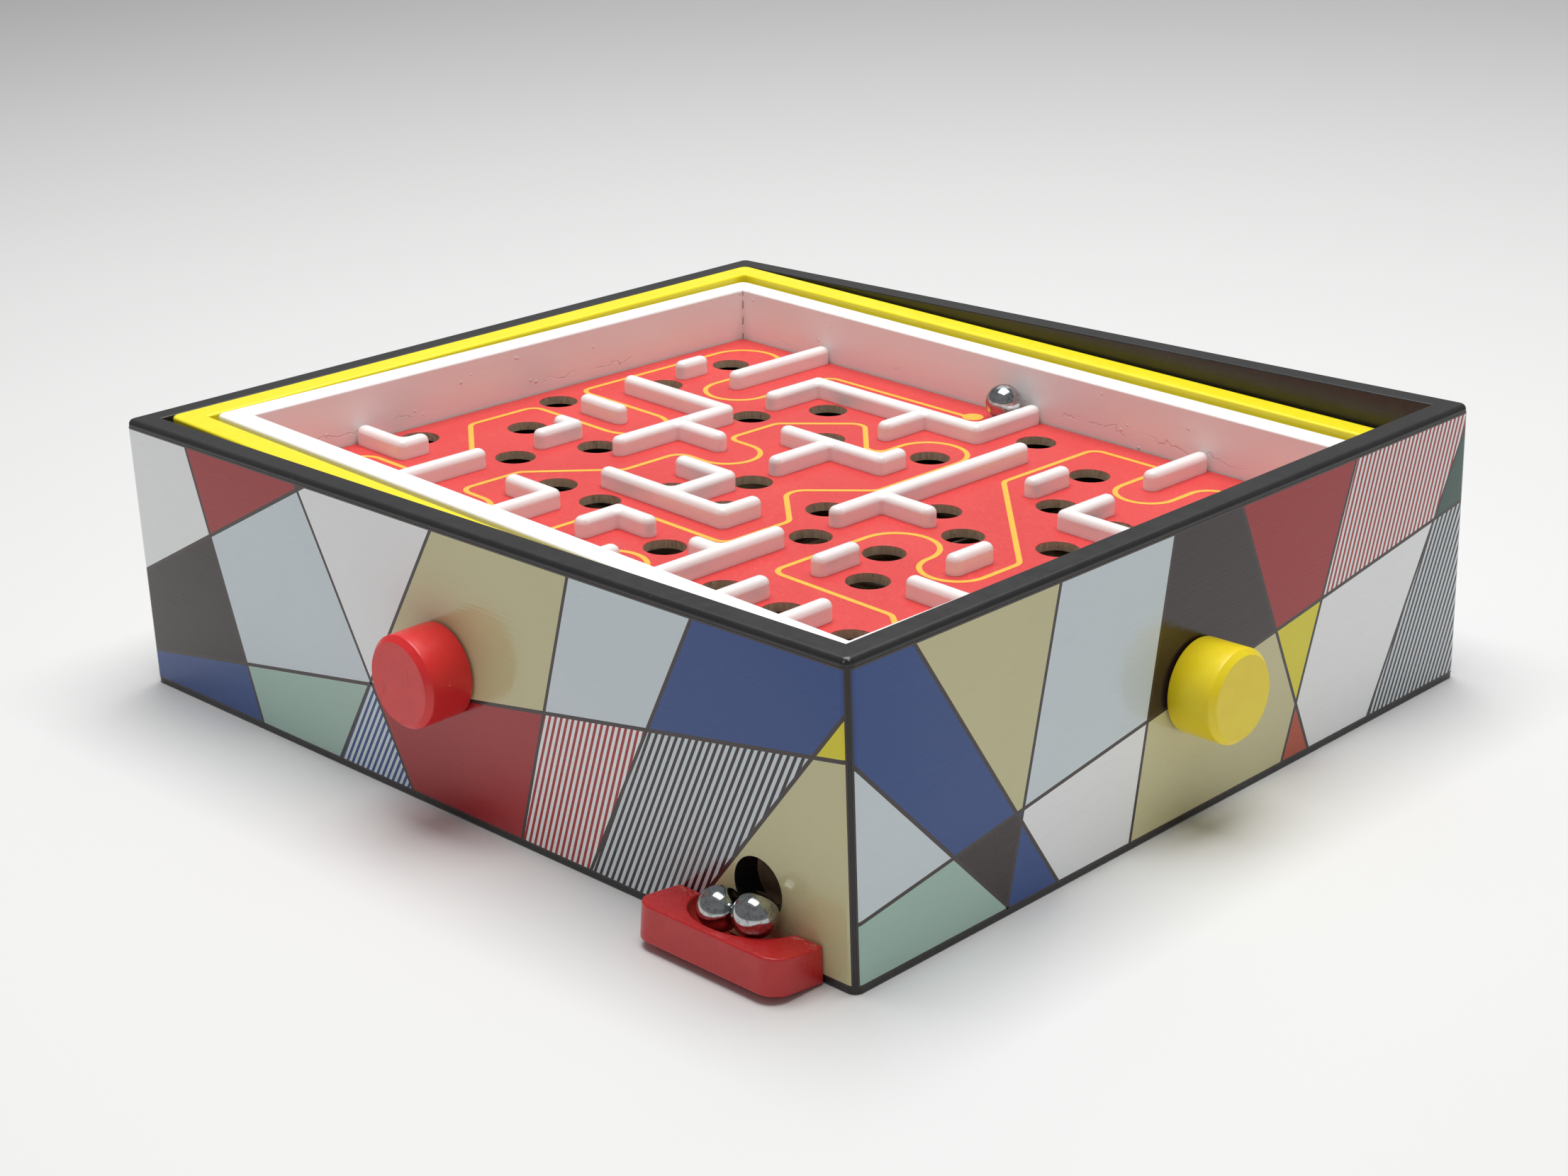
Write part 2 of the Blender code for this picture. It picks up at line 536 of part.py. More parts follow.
def make_cords(outer_axis, inner_axis):
    spring_length = SPRING_TURNS * SPRING_PITCH
    outer_eye, outer_anchor = INNER_W / 2 - OUTER_EYE_IN, OUTER_W / 2 - OUTER_RAIL / 2
    inner_eye, inner_anchor = INNER_D / 2 - INNER_EYE_IN, WHITE_D / 2 - WHITE_RAIL / 2

    drop = outer_anchor * math.sin(OUTER_TILT)
    left_z = PIVOT_Z + OUTER_BOTTOM + drop - CORD_HANG
    right_z = PIVOT_Z + OUTER_BOTTOM - drop - CORD_HANG - spring_length - 2 * SPRING_WIRE_R
    wire("outer_drive_cord", cord_points(to_outer, FRONT_SHAFT_Z, outer_eye, outer_anchor,
                                         left_z, right_z), CORD_R, "cord")
    back_drop = -inner_anchor * math.sin(INNER_TILT)
    side_drop = INNER_CORD_X * math.sin(OUTER_TILT)
    front_z = PIVOT_Z + WHITE_BOTTOM + back_drop - side_drop - CORD_HANG
    back_z = front_z - 2 * back_drop - spring_length - 2 * SPRING_WIRE_R
    wire("inner_drive_cord", cord_points(to_inner, SIDE_SHAFT_Z, inner_eye, inner_anchor,
                                         front_z, back_z), CORD_R, "cord")

    wire("outer_cord_spring", spring_points(outer_anchor, OUTER_CORD_Y, OUTER_BOTTOM - CORD_HANG),
         SPRING_WIRE_R, "steel", outer_axis, 1)
    wire("inner_cord_spring", spring_points(INNER_CORD_X, inner_anchor, WHITE_BOTTOM - CORD_HANG),
         SPRING_WIRE_R, "steel", inner_axis, 1)
    for side, sign in (("left", -1), ("right", 1)):
        wire(f"{side}_guide_eye", eye_points(to_outer, sign, INNER_W / 2, outer_eye),
             EYE_WIRE_R, "steel", None, 1)
    for side, sign in (("front", -1), ("back", 1)):
        wire(f"{side}_guide_eye", eye_points(to_inner, sign, INNER_D / 2, inner_eye),
             EYE_WIRE_R, "steel", None, 1)


# Balls -----------------------------------------------------------------------------------

def make_balls(inner_axis):
    x, y = BOARD_BALL
    place("board_ball", ball_mesh("board_ball", BALL_R), "steel",
          (x, y, BOARD_TOP + GAP + BALL_R), parent=inner_axis)
    for side, centre in zip(("left", "right"), TRAY_BALLS):
        name = f"tray_ball_{side}"
        place(name, ball_mesh(name, BALL_R), "steel", centre)


def main():
    make_box()
    make_return_floor()
    make_tray()
    outer_axis = make_empty("outer_tilt_axis", (0, 0, PIVOT_Z), (0, OUTER_TILT, 0))
    inner_axis = make_empty("inner_tilt_axis", (0, 0, 0), (INNER_TILT, 0, 0), outer_axis)
    make_frames(outer_axis, inner_axis)
    make_board(inner_axis)
    make_walls(inner_axis)
    front_axis = make_empty("front_knob_axis", (0, 0, FRONT_SHAFT_Z), (math.radians(90), 0, 0))
    side_axis = make_empty("side_knob_axis", (0, 0, SIDE_SHAFT_Z), (0, math.radians(90), 0))
    make_drive("front", "knob_red", front_axis, BOX_D / 2, INNER_D / 2 + SHAFT_IN_PANEL)
    make_drive("side", "knob_yellow", side_axis, BOX_W / 2, INNER_W / 2 + SHAFT_IN_PANEL)
    make_cords(outer_axis, inner_axis)
    make_balls(inner_axis)


clear_scene()
PARTS = make_collection("tilt_maze_game")
CUTTERS = make_collection("cutters")
MATERIALS = {name: make_material(name) for name in FINISHES}
main()
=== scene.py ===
"""Looks of the tilt maze game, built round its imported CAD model.

Every piece is made in millimetres in the space of the thing it belongs to (the box, the
outer frame or the inner frame), and is put in its place by that space's matrix.
"""

import json
import math

import bmesh
import bpy
from mathutils import Matrix, Vector


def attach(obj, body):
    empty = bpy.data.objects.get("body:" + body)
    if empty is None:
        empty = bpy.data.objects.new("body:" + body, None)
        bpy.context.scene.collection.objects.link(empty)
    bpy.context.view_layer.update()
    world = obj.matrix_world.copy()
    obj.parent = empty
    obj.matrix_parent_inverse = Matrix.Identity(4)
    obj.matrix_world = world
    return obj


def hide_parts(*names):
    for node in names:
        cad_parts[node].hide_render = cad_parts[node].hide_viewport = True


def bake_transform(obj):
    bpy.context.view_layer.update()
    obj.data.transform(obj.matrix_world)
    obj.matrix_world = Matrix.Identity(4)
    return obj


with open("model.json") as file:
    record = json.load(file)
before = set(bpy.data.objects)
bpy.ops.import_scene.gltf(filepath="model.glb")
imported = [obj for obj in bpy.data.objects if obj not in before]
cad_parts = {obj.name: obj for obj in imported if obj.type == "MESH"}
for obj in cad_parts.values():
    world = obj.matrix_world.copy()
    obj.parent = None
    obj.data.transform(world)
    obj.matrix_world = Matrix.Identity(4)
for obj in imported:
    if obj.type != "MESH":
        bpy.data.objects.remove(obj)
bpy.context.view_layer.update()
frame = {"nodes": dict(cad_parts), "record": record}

MM = 0.001
RECORD = frame["record"]
BODY_OF = {node: body for body, nodes in RECORD["behaviour"]["bodies"].items() for node in nodes}

# Spaces: the box stands level, the frames rest tilted
PIVOT_Z = 75.0
FRONT_SHAFT_Z, SIDE_SHAFT_Z = 48.5, 42.5
OUTER_TILT = math.radians(2.3)
INNER_TILT = math.radians(-0.6)
BOX = Matrix.Scale(MM, 4)
OUTER = BOX @ Matrix.Translation((0, 0, PIVOT_Z)) @ Matrix.Rotation(OUTER_TILT, 4, "Y")
INNER = OUTER @ Matrix.Rotation(INNER_TILT, 4, "X")
FRONT_AXIS = BOX @ Matrix.Translation((0, 0, FRONT_SHAFT_Z)) @ Matrix.Rotation(math.radians(90), 4, "X")
SIDE_AXIS = BOX @ Matrix.Translation((0, 0, SIDE_SHAFT_Z)) @ Matrix.Rotation(math.radians(90), 4, "Y")


def node_box(node, space):
    """The lowest and highest corners of a CAD node in a space, in millimetres."""
    inverse = space.inverted()
    points = [inverse @ vert.co for vert in frame["nodes"][node].data.vertices]
    low = Vector([min(point[axis] for point in points) for axis in range(3)])
    high = Vector([max(point[axis] for point in points) for axis in range(3)])
    return low, high


def union_box(nodes, space):
    boxes = [node_box(node, space) for node in nodes]
    low = Vector([min(box[0][axis] for box in boxes) for axis in range(3)])
    high = Vector([max(box[1][axis] for box in boxes) for axis in range(3)])
    return low, high


# Materials -------------------------------------------------------------------------------

class Surface:
    """A Principled material whose colour, roughness and bumps are built up in layers."""

    def __init__(self, name, colour, roughness, metallic=0.0, ior=1.5, coat=0.0):
        self.material = bpy.data.materials.new(name)
        self.material.use_nodes = True
        self.tree = self.material.node_tree
        self.shader = self.tree.nodes["Principled BSDF"]
        self.shader.inputs["Base Color"].default_value = (*colour, 1)
        self.shader.inputs["Roughness"].default_value = roughness
        self.shader.inputs["Metallic"].default_value = metallic
        self.shader.inputs["IOR"].default_value = ior
        self.shader.inputs["Coat Weight"].default_value = coat
        self.shader.inputs["Coat Roughness"].default_value = 0.08
        self.colour = (*colour, 1)
        self.where = self.add("ShaderNodeTexCoord").outputs["Object"]
        self.split = None

    def add(self, kind, **settings):
        node = self.tree.nodes.new(kind)
        for name, value in settings.items():
            setattr(node, name, value)
        return node

    def link(self, value, socket):
        if isinstance(value, bpy.types.NodeSocket):
            self.tree.links.new(value, socket)
        else:
            socket.default_value = value

    def stretched(self, stretch):
        mapping = self.add("ShaderNodeMapping")
        mapping.inputs["Scale"].default_value = stretch
        self.link(self.where, mapping.inputs["Vector"])
        return mapping.outputs["Vector"]

    def noise(self, size, detail=3.0, stretch=(1, 1, 1), rough=0.5, distortion=0.0):
        """Cloudy noise, 0 to 1, with blotches of about the given size in millimetres."""
        node = self.add("ShaderNodeTexNoise")
        self.link(self.stretched(stretch), node.inputs["Vector"])
        node.inputs["Scale"].default_value = 1.0 / size
        node.inputs["Detail"].default_value = detail
        node.inputs["Roughness"].default_value = rough
        node.inputs["Distortion"].default_value = distortion
        return node.outputs["Fac"]

    def cells(self, size, feature="DISTANCE_TO_EDGE", stretch=(1, 1, 1)):
        node = self.add("ShaderNodeTexVoronoi", feature=feature)
        self.link(self.stretched(stretch), node.inputs["Vector"])
        node.inputs["Scale"].default_value = 1.0 / size
        return node.outputs["Distance"]

    def axis(self, letter):
        """One coordinate of the piece's own space, in millimetres."""
        if self.split is None:
            self.split = self.add("ShaderNodeSeparateXYZ")
            self.link(self.where, self.split.inputs[0])
        return self.split.outputs[letter]

    def math(self, operation, first, second=0.0):
        node = self.add("ShaderNodeMath", operation=operation)
        self.link(first, node.inputs[0])
        self.link(second, node.inputs[1])
        return node.outputs[0]

    def times(self, first, second):
        return self.math("MULTIPLY", first, second)

    def between(self, value, low, high, out_low=0.0, out_high=1.0):
        """Maps low..high smoothly to out_low..out_high and clamps it."""
        node = self.add("ShaderNodeMapRange", interpolation_type="SMOOTHSTEP")
        self.link(value, node.inputs["Value"])
        node.inputs["From Min"].default_value = low
        node.inputs["From Max"].default_value = high
        node.inputs["To Min"].default_value = out_low
        node.inputs["To Max"].default_value = out_high
        return node.outputs["Result"]

    def tint(self, factor, colour):
        """Lays another colour over the base colour, as far as factor says."""
        node = self.add("ShaderNodeMix", data_type="RGBA")
        self.link(factor, node.inputs[0])
        self.link(self.colour, node.inputs[6])
        node.inputs[7].default_value = (*colour, 1)
        self.colour = node.outputs[2]
        self.link(self.colour, self.shader.inputs["Base Color"])
        return self

    def cloud(self, colour, amount, span, *noise):
        """Lays clouds of another colour on, up to amount, where the noise is past the span."""
        return self.tint(self.between(self.noise(*noise), *span, 0.0, amount), colour)

    def roughen(self, factor, low, high):
        self.link(self.between(factor, 0.25, 0.75, low, high), self.shader.inputs["Roughness"])
        return self

    def bump(self, height, depth):
        """Adds relief; depth is its full height in millimetres."""
        node = self.add("ShaderNodeBump")
        node.inputs["Strength"].default_value = 1.0
        node.inputs["Distance"].default_value = depth * MM
        self.link(height, node.inputs["Height"])
        linked = self.shader.inputs["Normal"].links
        if linked:
            self.link(linked[0].from_socket, node.inputs["Normal"])
        self.link(node.outputs["Normal"], self.shader.inputs["Normal"])
        return self


def shade(colour, factor):
    return tuple(min(1.0, channel * factor) for channel in colour)


def print_surface(name, colour, along=(1, 1, 14)):
    """Glossy printed film over a board, whose grain shows through as fine level streaks."""
    film = Surface(name, colour, 0.11)
    streak = film.noise(9.0, 5.0, along, 0.65)
    film.tint(film.between(streak, 0.45, 0.8, 0.0, 0.30), shade(colour, 0.88))
    film.cloud(shade(colour, 1.10), 0.25, (0.4, 0.75), 60.0, 2.0)
    specks = film.between(film.cells(11.0, "F1"), 0.045, 0.02)
    rare = film.between(film.noise(23.0, 1.0), 0.60, 0.66)
    film.tint(film.times(specks, rare), shade(colour, 0.55))
    film.roughen(film.noise(3.0, 3.0, along), 0.06, 0.14)
    film.bump(film.noise(13.0, 3.0, along, 0.6), 0.075)
    film.bump(film.noise(45.0, 2.0, (1, 1, 3)), 0.12)
    return film.material


def black_lacquer():
    black = Surface("black_lacquer", (0.021, 0.020, 0.020), 0.30)
    black.cloud((0.029, 0.027, 0.026), 0.6, (0.4, 0.7), 40.0)
    black.roughen(black.noise(5.0, 4.0), 0.24, 0.36)
    black.bump(black.noise(3.0, 3.0), 0.010)
    rim = black.between(black.axis("Z"), 91.9, 92.6)
    across = black.math("MAXIMUM", black.between(black.math("ABSOLUTE", black.axis("X")), 163.2, 163.9),
                        black.between(black.math("ABSOLUTE", black.axis("Y")), 141.2, 141.9))
    edge = black.times(rim, across)
    specks = black.between(black.cells(2.6, "F1"), 0.085, 0.05)
    some = black.between(black.noise(9.0, 2.0), 0.52, 0.58)
    black.tint(black.times(edge, black.times(specks, some)), (0.45, 0.43, 0.40))
    corner_x = black.between(black.axis("X"), 162.7, 163.3)
    corner_y = black.between(black.axis("Y"), -140.7, -141.3)
    corner = black.times(black.times(corner_x, corner_y), rim)
    black.tint(black.times(corner, black.between(black.noise(0.9, 4.0), 0.47, 0.60)),
               (0.30, 0.29, 0.27))
    return black.material


def yellow_paint():
    yellow = Surface("yellow_frame_paint", (0.98, 0.83, 0.018), 0.34, coat=0.10)
    yellow.cloud((1.0, 0.87, 0.03), 0.5, (0.45, 0.7), 30.0, 3.0)
    grain = yellow.noise(2.4, 4.0, (0.15, 0.15, 1), 0.6)
    yellow.tint(yellow.between(grain, 0.64, 0.78, 0.0, 0.2), (0.88, 0.70, 0.01))
    yellow.roughen(yellow.noise(3.0, 4.0), 0.28, 0.42)
    yellow.bump(grain, 0.012).bump(yellow.noise(1.2, 3.0), 0.006)
    return yellow.material


def white_paint():
    """Thick white paint on wood: brush marks, lumps, split paint low down and dark joints."""
    white = Surface("white_frame_paint", (0.945, 0.94, 0.925), 0.38, coat=0.08)
    strokes = white.noise(1.5, 4.0, (0.07, 0.07, 1), 0.65)
    white.tint(white.between(strokes, 0.5, 0.8, 0.0, 0.25), (0.90, 0.87, 0.85))
    white.cloud((0.96, 0.955, 0.94), 0.5, (0.35, 0.7), 18.0, 3.0)
    wander = white.times(white.math("SUBTRACT", white.noise(9.0, 5.0), 0.5), 13.0)
    height = white.math("ABSOLUTE", white.math("SUBTRACT", white.axis("Z"),
                                               white.math("ADD", wander, -3.2)))
    split = white.times(white.between(height, 0.30, 0.06),
                       white.between(white.noise(26.0, 2.0), 0.50, 0.56))
    white.tint(white.times(split, 0.22), (0.55, 0.40, 0.36))
    drips = white.times(white.between(white.cells(5.5, "F1"), 0.16, 0.05),
                       white.between(white.noise(15.0, 1.0), 0.55, 0.62))
    past_x, past_y = (white.math("SUBTRACT", white.math("ABSOLUTE", white.axis(letter)), corner)
                      for letter, corner in (("X", 135.8), ("Y", 112.6)))
    apart = white.math("MAXIMUM", white.math("ABSOLUTE", past_x), white.math("ABSOLUTE", past_y))
    across = white.between(apart, 0.6, 0.3)
    low = white.between(white.axis("Z"), 11.6, 10.6)
    joint = white.times(white.times(across, low),
                       white.between(white.noise(2.6, 3.0), 0.38, 0.52))
    white.tint(white.times(joint, 0.8), (0.10, 0.075, 0.06))
    white.roughen(white.noise(4.0, 3.0), 0.30, 0.46)
    white.bump(strokes, 0.05).bump(white.noise(16.0, 3.0), 0.16)
    white.bump(drips, 0.22).bump(split, -0.16)
    return white.material


def board_red():
    red = Surface("board_red_paint", (0.70, 0.052, 0.050), 0.38)
    red.cloud((0.76, 0.068, 0.061), 0.6, (0.4, 0.7), 45.0, 3.0)
    fleck = red.between(red.noise(0.7, 3.0, (1, 1, 1), 0.7), 0.58, 0.70, 0.0, 0.5)
    red.tint(fleck, (0.90, 0.24, 0.20))
    dust = red.between(red.cells(9.0, "F1"), 0.035, 0.015)
    red.tint(red.times(dust, red.between(red.noise(18.0), 0.55, 0.6)), (0.95, 0.72, 0.62))
    red.roughen(red.noise(2.0, 4.0), 0.30, 0.46)
    red.bump(red.noise(0.8, 3.0), 0.014)
    return red.material


def fibreboard():
    brown = Surface("fibreboard_edge", (0.52, 0.39, 0.26), 0.9)
    brown.cloud((0.66, 0.52, 0.36), 1.0, (0.42, 0.66), 1.4, 5.0, (1, 1, 0.2), 0.7)
    brown.cloud((0.21, 0.135, 0.075), 0.6, (0.58, 0.7), 0.8, 3.0, (1, 1, 0.25))
    brown.bump(brown.noise(0.6, 4.0), 0.10)
    return brown.material


def hardboard():
    brown = Surface("hardboard", (0.26, 0.16, 0.085), 0.72)
    brown.tint(brown.between(brown.noise(7.0, 6.0, (1, 1, 1), 0.7), 0.4, 0.65), (0.36, 0.24, 0.14))
    fibres = brown.noise(0.9, 4.0, (0.25, 1, 1), 0.7)
    brown.tint(brown.between(fibres, 0.58, 0.7, 0.0, 0.6), (0.14, 0.08, 0.04))
    brown.roughen(brown.noise(5.0), 0.55, 0.8)
    brown.bump(fibres, 0.05)
    return brown.material


def route_paint():
    line = Surface("route_paint", (0.93, 0.50, 0.055), 0.40)
    line.cloud((0.97, 0.62, 0.13), 0.4, (0.5, 0.72), 1.3, 4.0, (1, 1, 1), 0.7)
    line.roughen(line.noise(2.0), 0.32, 0.48)
    line.bump(line.noise(0.7, 3.0), 0.012)
    return line.material


def wall_white():
    white = Surface("maze_wall_gloss", (0.95, 0.93, 0.91), 0.20, coat=0.25)
    white.cloud((0.97, 0.95, 0.93), 0.6, (0.4, 0.7), 12.0, 3.0)
    # Painted shade and painted red bounce light: towards the foot of each wall the white is darkened to
    # pink in blotches, where shade and the red board's light fall
    painted_foot_shade = white.between(white.axis("Z"), -6.2, -7.4, 0.0, 0.45)
    white.tint(white.times(painted_foot_shade, white.noise(3.0, 4.0)), (0.72, 0.45, 0.42))
    white.roughen(white.noise(2.5, 3.0), 0.13, 0.27)
    white.bump(white.noise(6.0, 2.0), 0.10).bump(white.noise(0.8, 3.0), 0.006)
    return white.material


def turned_paint(name, colour, dull, end, scratched):
    """Painted turned wood; scratched says how plainly short dark scratches mark the face."""
    paint = Surface(name, colour, 0.34, coat=0.10)
    face = paint.between(paint.axis("Z"), end - 0.12, end - 0.02)
    paint.cloud(shade(colour, 1.10), 0.5, (0.42, 0.68), 9.0, 3.0)
    mottle = paint.noise(0.8, 4.0, (1, 1, 1), 0.7)
    paint.tint(paint.between(mottle, 0.55, 0.75, 0.0, 0.22), tuple(0.8 * c + 0.12 for c in colour))
    scratches = paint.between(paint.noise(2.2, 4.0, (1.6, 0.22, 1), 0.75), 0.62, 0.68)
    patches = paint.between(paint.noise(8.0, 2.0), 0.46, 0.56)
    marks = paint.times(face, paint.times(scratches, patches))
    paint.tint(paint.times(marks, scratched), dull)
    nicks = paint.times(paint.between(paint.cells(6.0, "F1"), 0.055, 0.03),
                       paint.between(paint.noise(7.0, 1.0), 0.56, 0.60))
    paint.tint(paint.times(nicks, 0.7), tuple(0.4 * c + 0.45 for c in colour))
    paint.roughen(paint.noise(1.8, 4.0), 0.28, 0.42)
    paint.bump(paint.noise(2.4, 2.0, (1, 1, 0.3)), 0.016)
    return paint.material


def tray_paint():
    colour = (0.56, 0.018, 0.020)
    paint = Surface("tray_red_paint", colour, 0.30, coat=0.12)
    paint.cloud((0.62, 0.024, 0.026), 0.5, (0.42, 0.68), 9.0, 3.0)
    grain = paint.noise(1.0, 5.0, (0.10, 1, 1), 0.6)
    paint.tint(paint.between(grain, 0.60, 0.80, 0.0, 0.25), (0.46, 0.015, 0.016))
    back = paint.between(paint.axis("Y"), -147.6, -145.2)
    high = paint.between(paint.axis("Z"), 10.6, 11.6)
    worn = paint.between(paint.noise(1.1, 5.0, (0.5, 1, 1), 0.75), 0.50, 0.60)
    scuff = paint.times(paint.times(back, high), worn)
    paint.tint(paint.times(scuff, 0.6), (0.62, 0.30, 0.24))
    dents = paint.between(paint.cells(7.0, "F1"), 0.035, 0.02)
    paint.tint(paint.times(dents, paint.between(paint.noise(9.0), 0.58, 0.63)),
               (0.80, 0.42, 0.38))
    paint.roughen(paint.noise(2.0, 4.0), 0.24, 0.42)
    paint.bump(paint.noise(4.0, 1.0), 0.010)
    return paint.material


def ball_steel():
    steel = Surface("ball_steel", (0.50, 0.52, 0.52), 0.10, metallic=1.0)
    smudge = steel.noise(1.3, 6.0, (1, 1, 1), 0.75)
    steel.tint(steel.between(smudge, 0.46, 0.62, 0.0, 0.75), (0.20, 0.21, 0.21))
    steel.cloud((0.72, 0.74, 0.74), 0.35, (0.5, 0.7), 4.0, 3.0)
    steel.roughen(smudge, 0.05, 0.20)
    steel.bump(steel.noise(0.35, 3.0), 0.0015)
    return steel.material


def plain_steel():
    steel = Surface("plain_steel", (0.55, 0.54, 0.52), 0.30, metallic=1.0)
    lines = steel.noise(0.7, 4.0, (1, 1, 0.06), 0.6)
    steel.tint(steel.between(lines, 0.45, 0.7, 0.0, 0.5), (0.38, 0.37, 0.36))
    steel.cloud((0.30, 0.22, 0.15), 0.5, (0.62, 0.74), 7.0, 4.0)
    steel.roughen(lines, 0.22, 0.42)
    steel.bump(lines, 0.01)
    return steel.material


def cord_fibre():
    cord = Surface("waxed_cord", (0.55, 0.50, 0.40), 0.8)
    cord.tint(cord.between(cord.noise(0.5, 4.0), 0.4, 0.7), (0.36, 0.31, 0.23))
    cord.bump(cord.noise(0.25, 4.0), 0.05)
    return cord.material


def floor_surface():
    floor = Surface("pale_floor", (0.80, 0.80, 0.79), 0.55)
    floor.cloud((0.83, 0.83, 0.82), 0.25, (0.4, 0.7), 0.7, 3.0)
    floor.bump(floor.noise(0.02, 2.0), 0.05)
    return floor.material


PRINT_COLOURS = {
    "outline": (0.050, 0.034, 0.032),
    "umber": (0.034, 0.018, 0.020),
    "blue": (0.020, 0.070, 0.27),
    "brick": (0.42, 0.016, 0.020),
    "sand": (0.66, 0.62, 0.35),
    "mist": (0.70, 0.78, 0.82),
    "chalk": (0.95, 0.96, 0.96),
    "lemon": (0.84, 0.73, 0.015),
    "mint": (0.42, 0.60, 0.52),
    "pine": (0.035, 0.10, 0.075),
    "ember": (0.52, 0.075, 0.025),
    "teal": (0.16, 0.36, 0.33),
}

MAKERS = {
    "black": black_lacquer, "yellow": yellow_paint, "white": white_paint, "board": board_red,
    "fibreboard": fibreboard, "hardboard": hardboard, "route": route_paint, "wall": wall_white,
    "tray": tray_paint, "ball": ball_steel, "steel": plain_steel, "cord": cord_fibre,
}
MATERIALS = {name: maker() for name, maker in MAKERS.items()}
MATERIALS["red_knob"] = turned_paint("red_knob_paint", (0.76, 0.024, 0.026), (0.22, 0.012, 0.014),
                                     159.9, 0.85)
MATERIALS["yellow_knob"] = turned_paint("yellow_knob_paint", (0.97, 0.74, 0.014),
                                        (0.66, 0.42, 0.02), 181.9, 0.25)
for print_name, print_colour in PRINT_COLOURS.items():
    MATERIALS[print_name] = print_surface(f"print_{print_name}", print_colour)


# Mesh helpers ----------------------------------------------------------------------------

def add_object(name, data):
    item = bpy.data.objects.new(name, data)
    bpy.context.scene.collection.objects.link(item)
    return item


def put(name, mesh, materials, space, body, flat_shading=False):
    """Makes an object of a mesh, gives it its materials and puts it on a body."""
    piece = add_object(name, mesh)
    for material in materials:
        mesh.materials.append(MATERIALS[material])
    piece.matrix_world = space
    if not flat_shading:
        mesh.shade_smooth()
        mesh.set_sharp_from_angle(angle=math.radians(40))
    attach(piece, body)
    return piece


def stand_for(node, name, mesh, materials, space):
    """Puts a piece in the place of a CAD node."""
    piece = put(name, mesh, materials, space, BODY_OF[node])
    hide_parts(node)
    return piece


def keep_flats_flat(piece):
    """Large flat faces keep level shading beside their rounded edges."""
    normals = piece.modifiers.new("flat_faces", "WEIGHTED_NORMAL")
    normals.keep_sharp = True
    normals.weight = 100
    return piece


def to_mesh(bm, name):
    mesh = bpy.data.meshes.new(name)
    bm.to_mesh(mesh)
    bm.free()
    return mesh


def block(low, high):
    size = Vector(high) - Vector(low)
    matrix = Matrix.Translation((Vector(high) + Vector(low)) / 2) @ Matrix.Diagonal((*size, 1))
    bm = bmesh.new()
    bmesh.ops.create_cube(bm, size=1.0, matrix=matrix)
    return bm


def bevel(bm, edges, radius, segments):
    bmesh.ops.bevel(bm, geom=edges, offset=radius, segments=segments, profile=0.5,
                    affect="EDGES", clamp_overlap=True)


def is_upright(edge):
    first, second = (vert.co for vert in edge.verts)
    return abs(first.z - second.z) > 0.5 * (first - second).length


def sharp_edges(bm, degrees=60):
    return [edge for edge in bm.edges
            if len(edge.link_faces) == 2 and edge.calc_face_angle() > math.radians(degrees)]


def is_inside(edge, high, rail):
    """Whether an edge lies on the inner faces of a frame whose rails are rail wide."""
    slack = 1e-3
    return all(abs(vert.co.x) < high.x - rail + slack and abs(vert.co.y) < high.y - rail + slack
               for vert in edge.verts)


def ring(low, high, rail, corner_r, edge_r, rim_r=None):
    """A rectangular frame with rounded outer corners and softened upper and lower edges;
    rim_r is the radius of the outer upper edge where it differs."""
    xs = (low.x, low.x + rail, high.x - rail, high.x)
    ys = (low.y, low.y + rail, high.y - rail, high.y)
    bm = bmesh.new()
    grid = [[bm.verts.new((x, y, low.z)) for x in xs] for y in ys]
    for row in range(3):
        for column in range(3):
            if (row, column) != (1, 1):
                bm.faces.new((grid[row][column], grid[row][column + 1],
                              grid[row + 1][column + 1], grid[row + 1][column]))
    raised = bmesh.ops.extrude_face_region(bm, geom=list(bm.faces))
    lift = [item for item in raised["geom"] if isinstance(item, bmesh.types.BMVert)]
    bmesh.ops.translate(bm, verts=lift, vec=(0, 0, high.z - low.z))
    bmesh.ops.recalc_face_normals(bm, faces=bm.faces)
    corners = [edge for edge in bm.edges if is_upright(edge)
               and abs(edge.verts[0].co.x) > high.x - 1e-3
               and abs(edge.verts[0].co.y) > high.y - 1e-3]
    bevel(bm, corners, corner_r, 8)
    if rim_r:
        rims = [edge for edge in sharp_edges(bm) if all(vert.co.z > high.z - 1e-3 for vert in edge.verts)
                and not is_inside(edge, high, rail)]
        bevel(bm, rims, rim_r, 7)
    rims = [edge for edge in sharp_edges(bm)
            if not rim_r or edge.verts[0].co.z < high.z - 1e-3 or is_inside(edge, high, rail)]
    bevel(bm, rims, edge_r, 4)
    return bm


def cut_off(bm, point, normal):
    """Takes away what lies on the normal's side of a plane, and closes the cut."""
    geometry = list(bm.verts) + list(bm.edges) + list(bm.faces)
    cut = bmesh.ops.bisect_plane(bm, geom=geometry, plane_co=point, plane_no=normal,
                                 clear_outer=True, dist=1e-5)
    edges = [item for item in cut["geom_cut"] if isinstance(item, bmesh.types.BMEdge)]
    bmesh.ops.edgenet_fill(bm, edges=edges, mat_nr=0, use_smooth=False, sides=0)
    bmesh.ops.recalc_face_normals(bm, faces=bm.faces)


def bake(piece):
    """Turns a piece's modifiers into mesh."""
    bpy.context.view_layer.update()
    evaluated = piece.evaluated_get(bpy.context.evaluated_depsgraph_get())
    mesh = bpy.data.meshes.new_from_object(evaluated)
    piece.modifiers.clear()
    piece.data = mesh


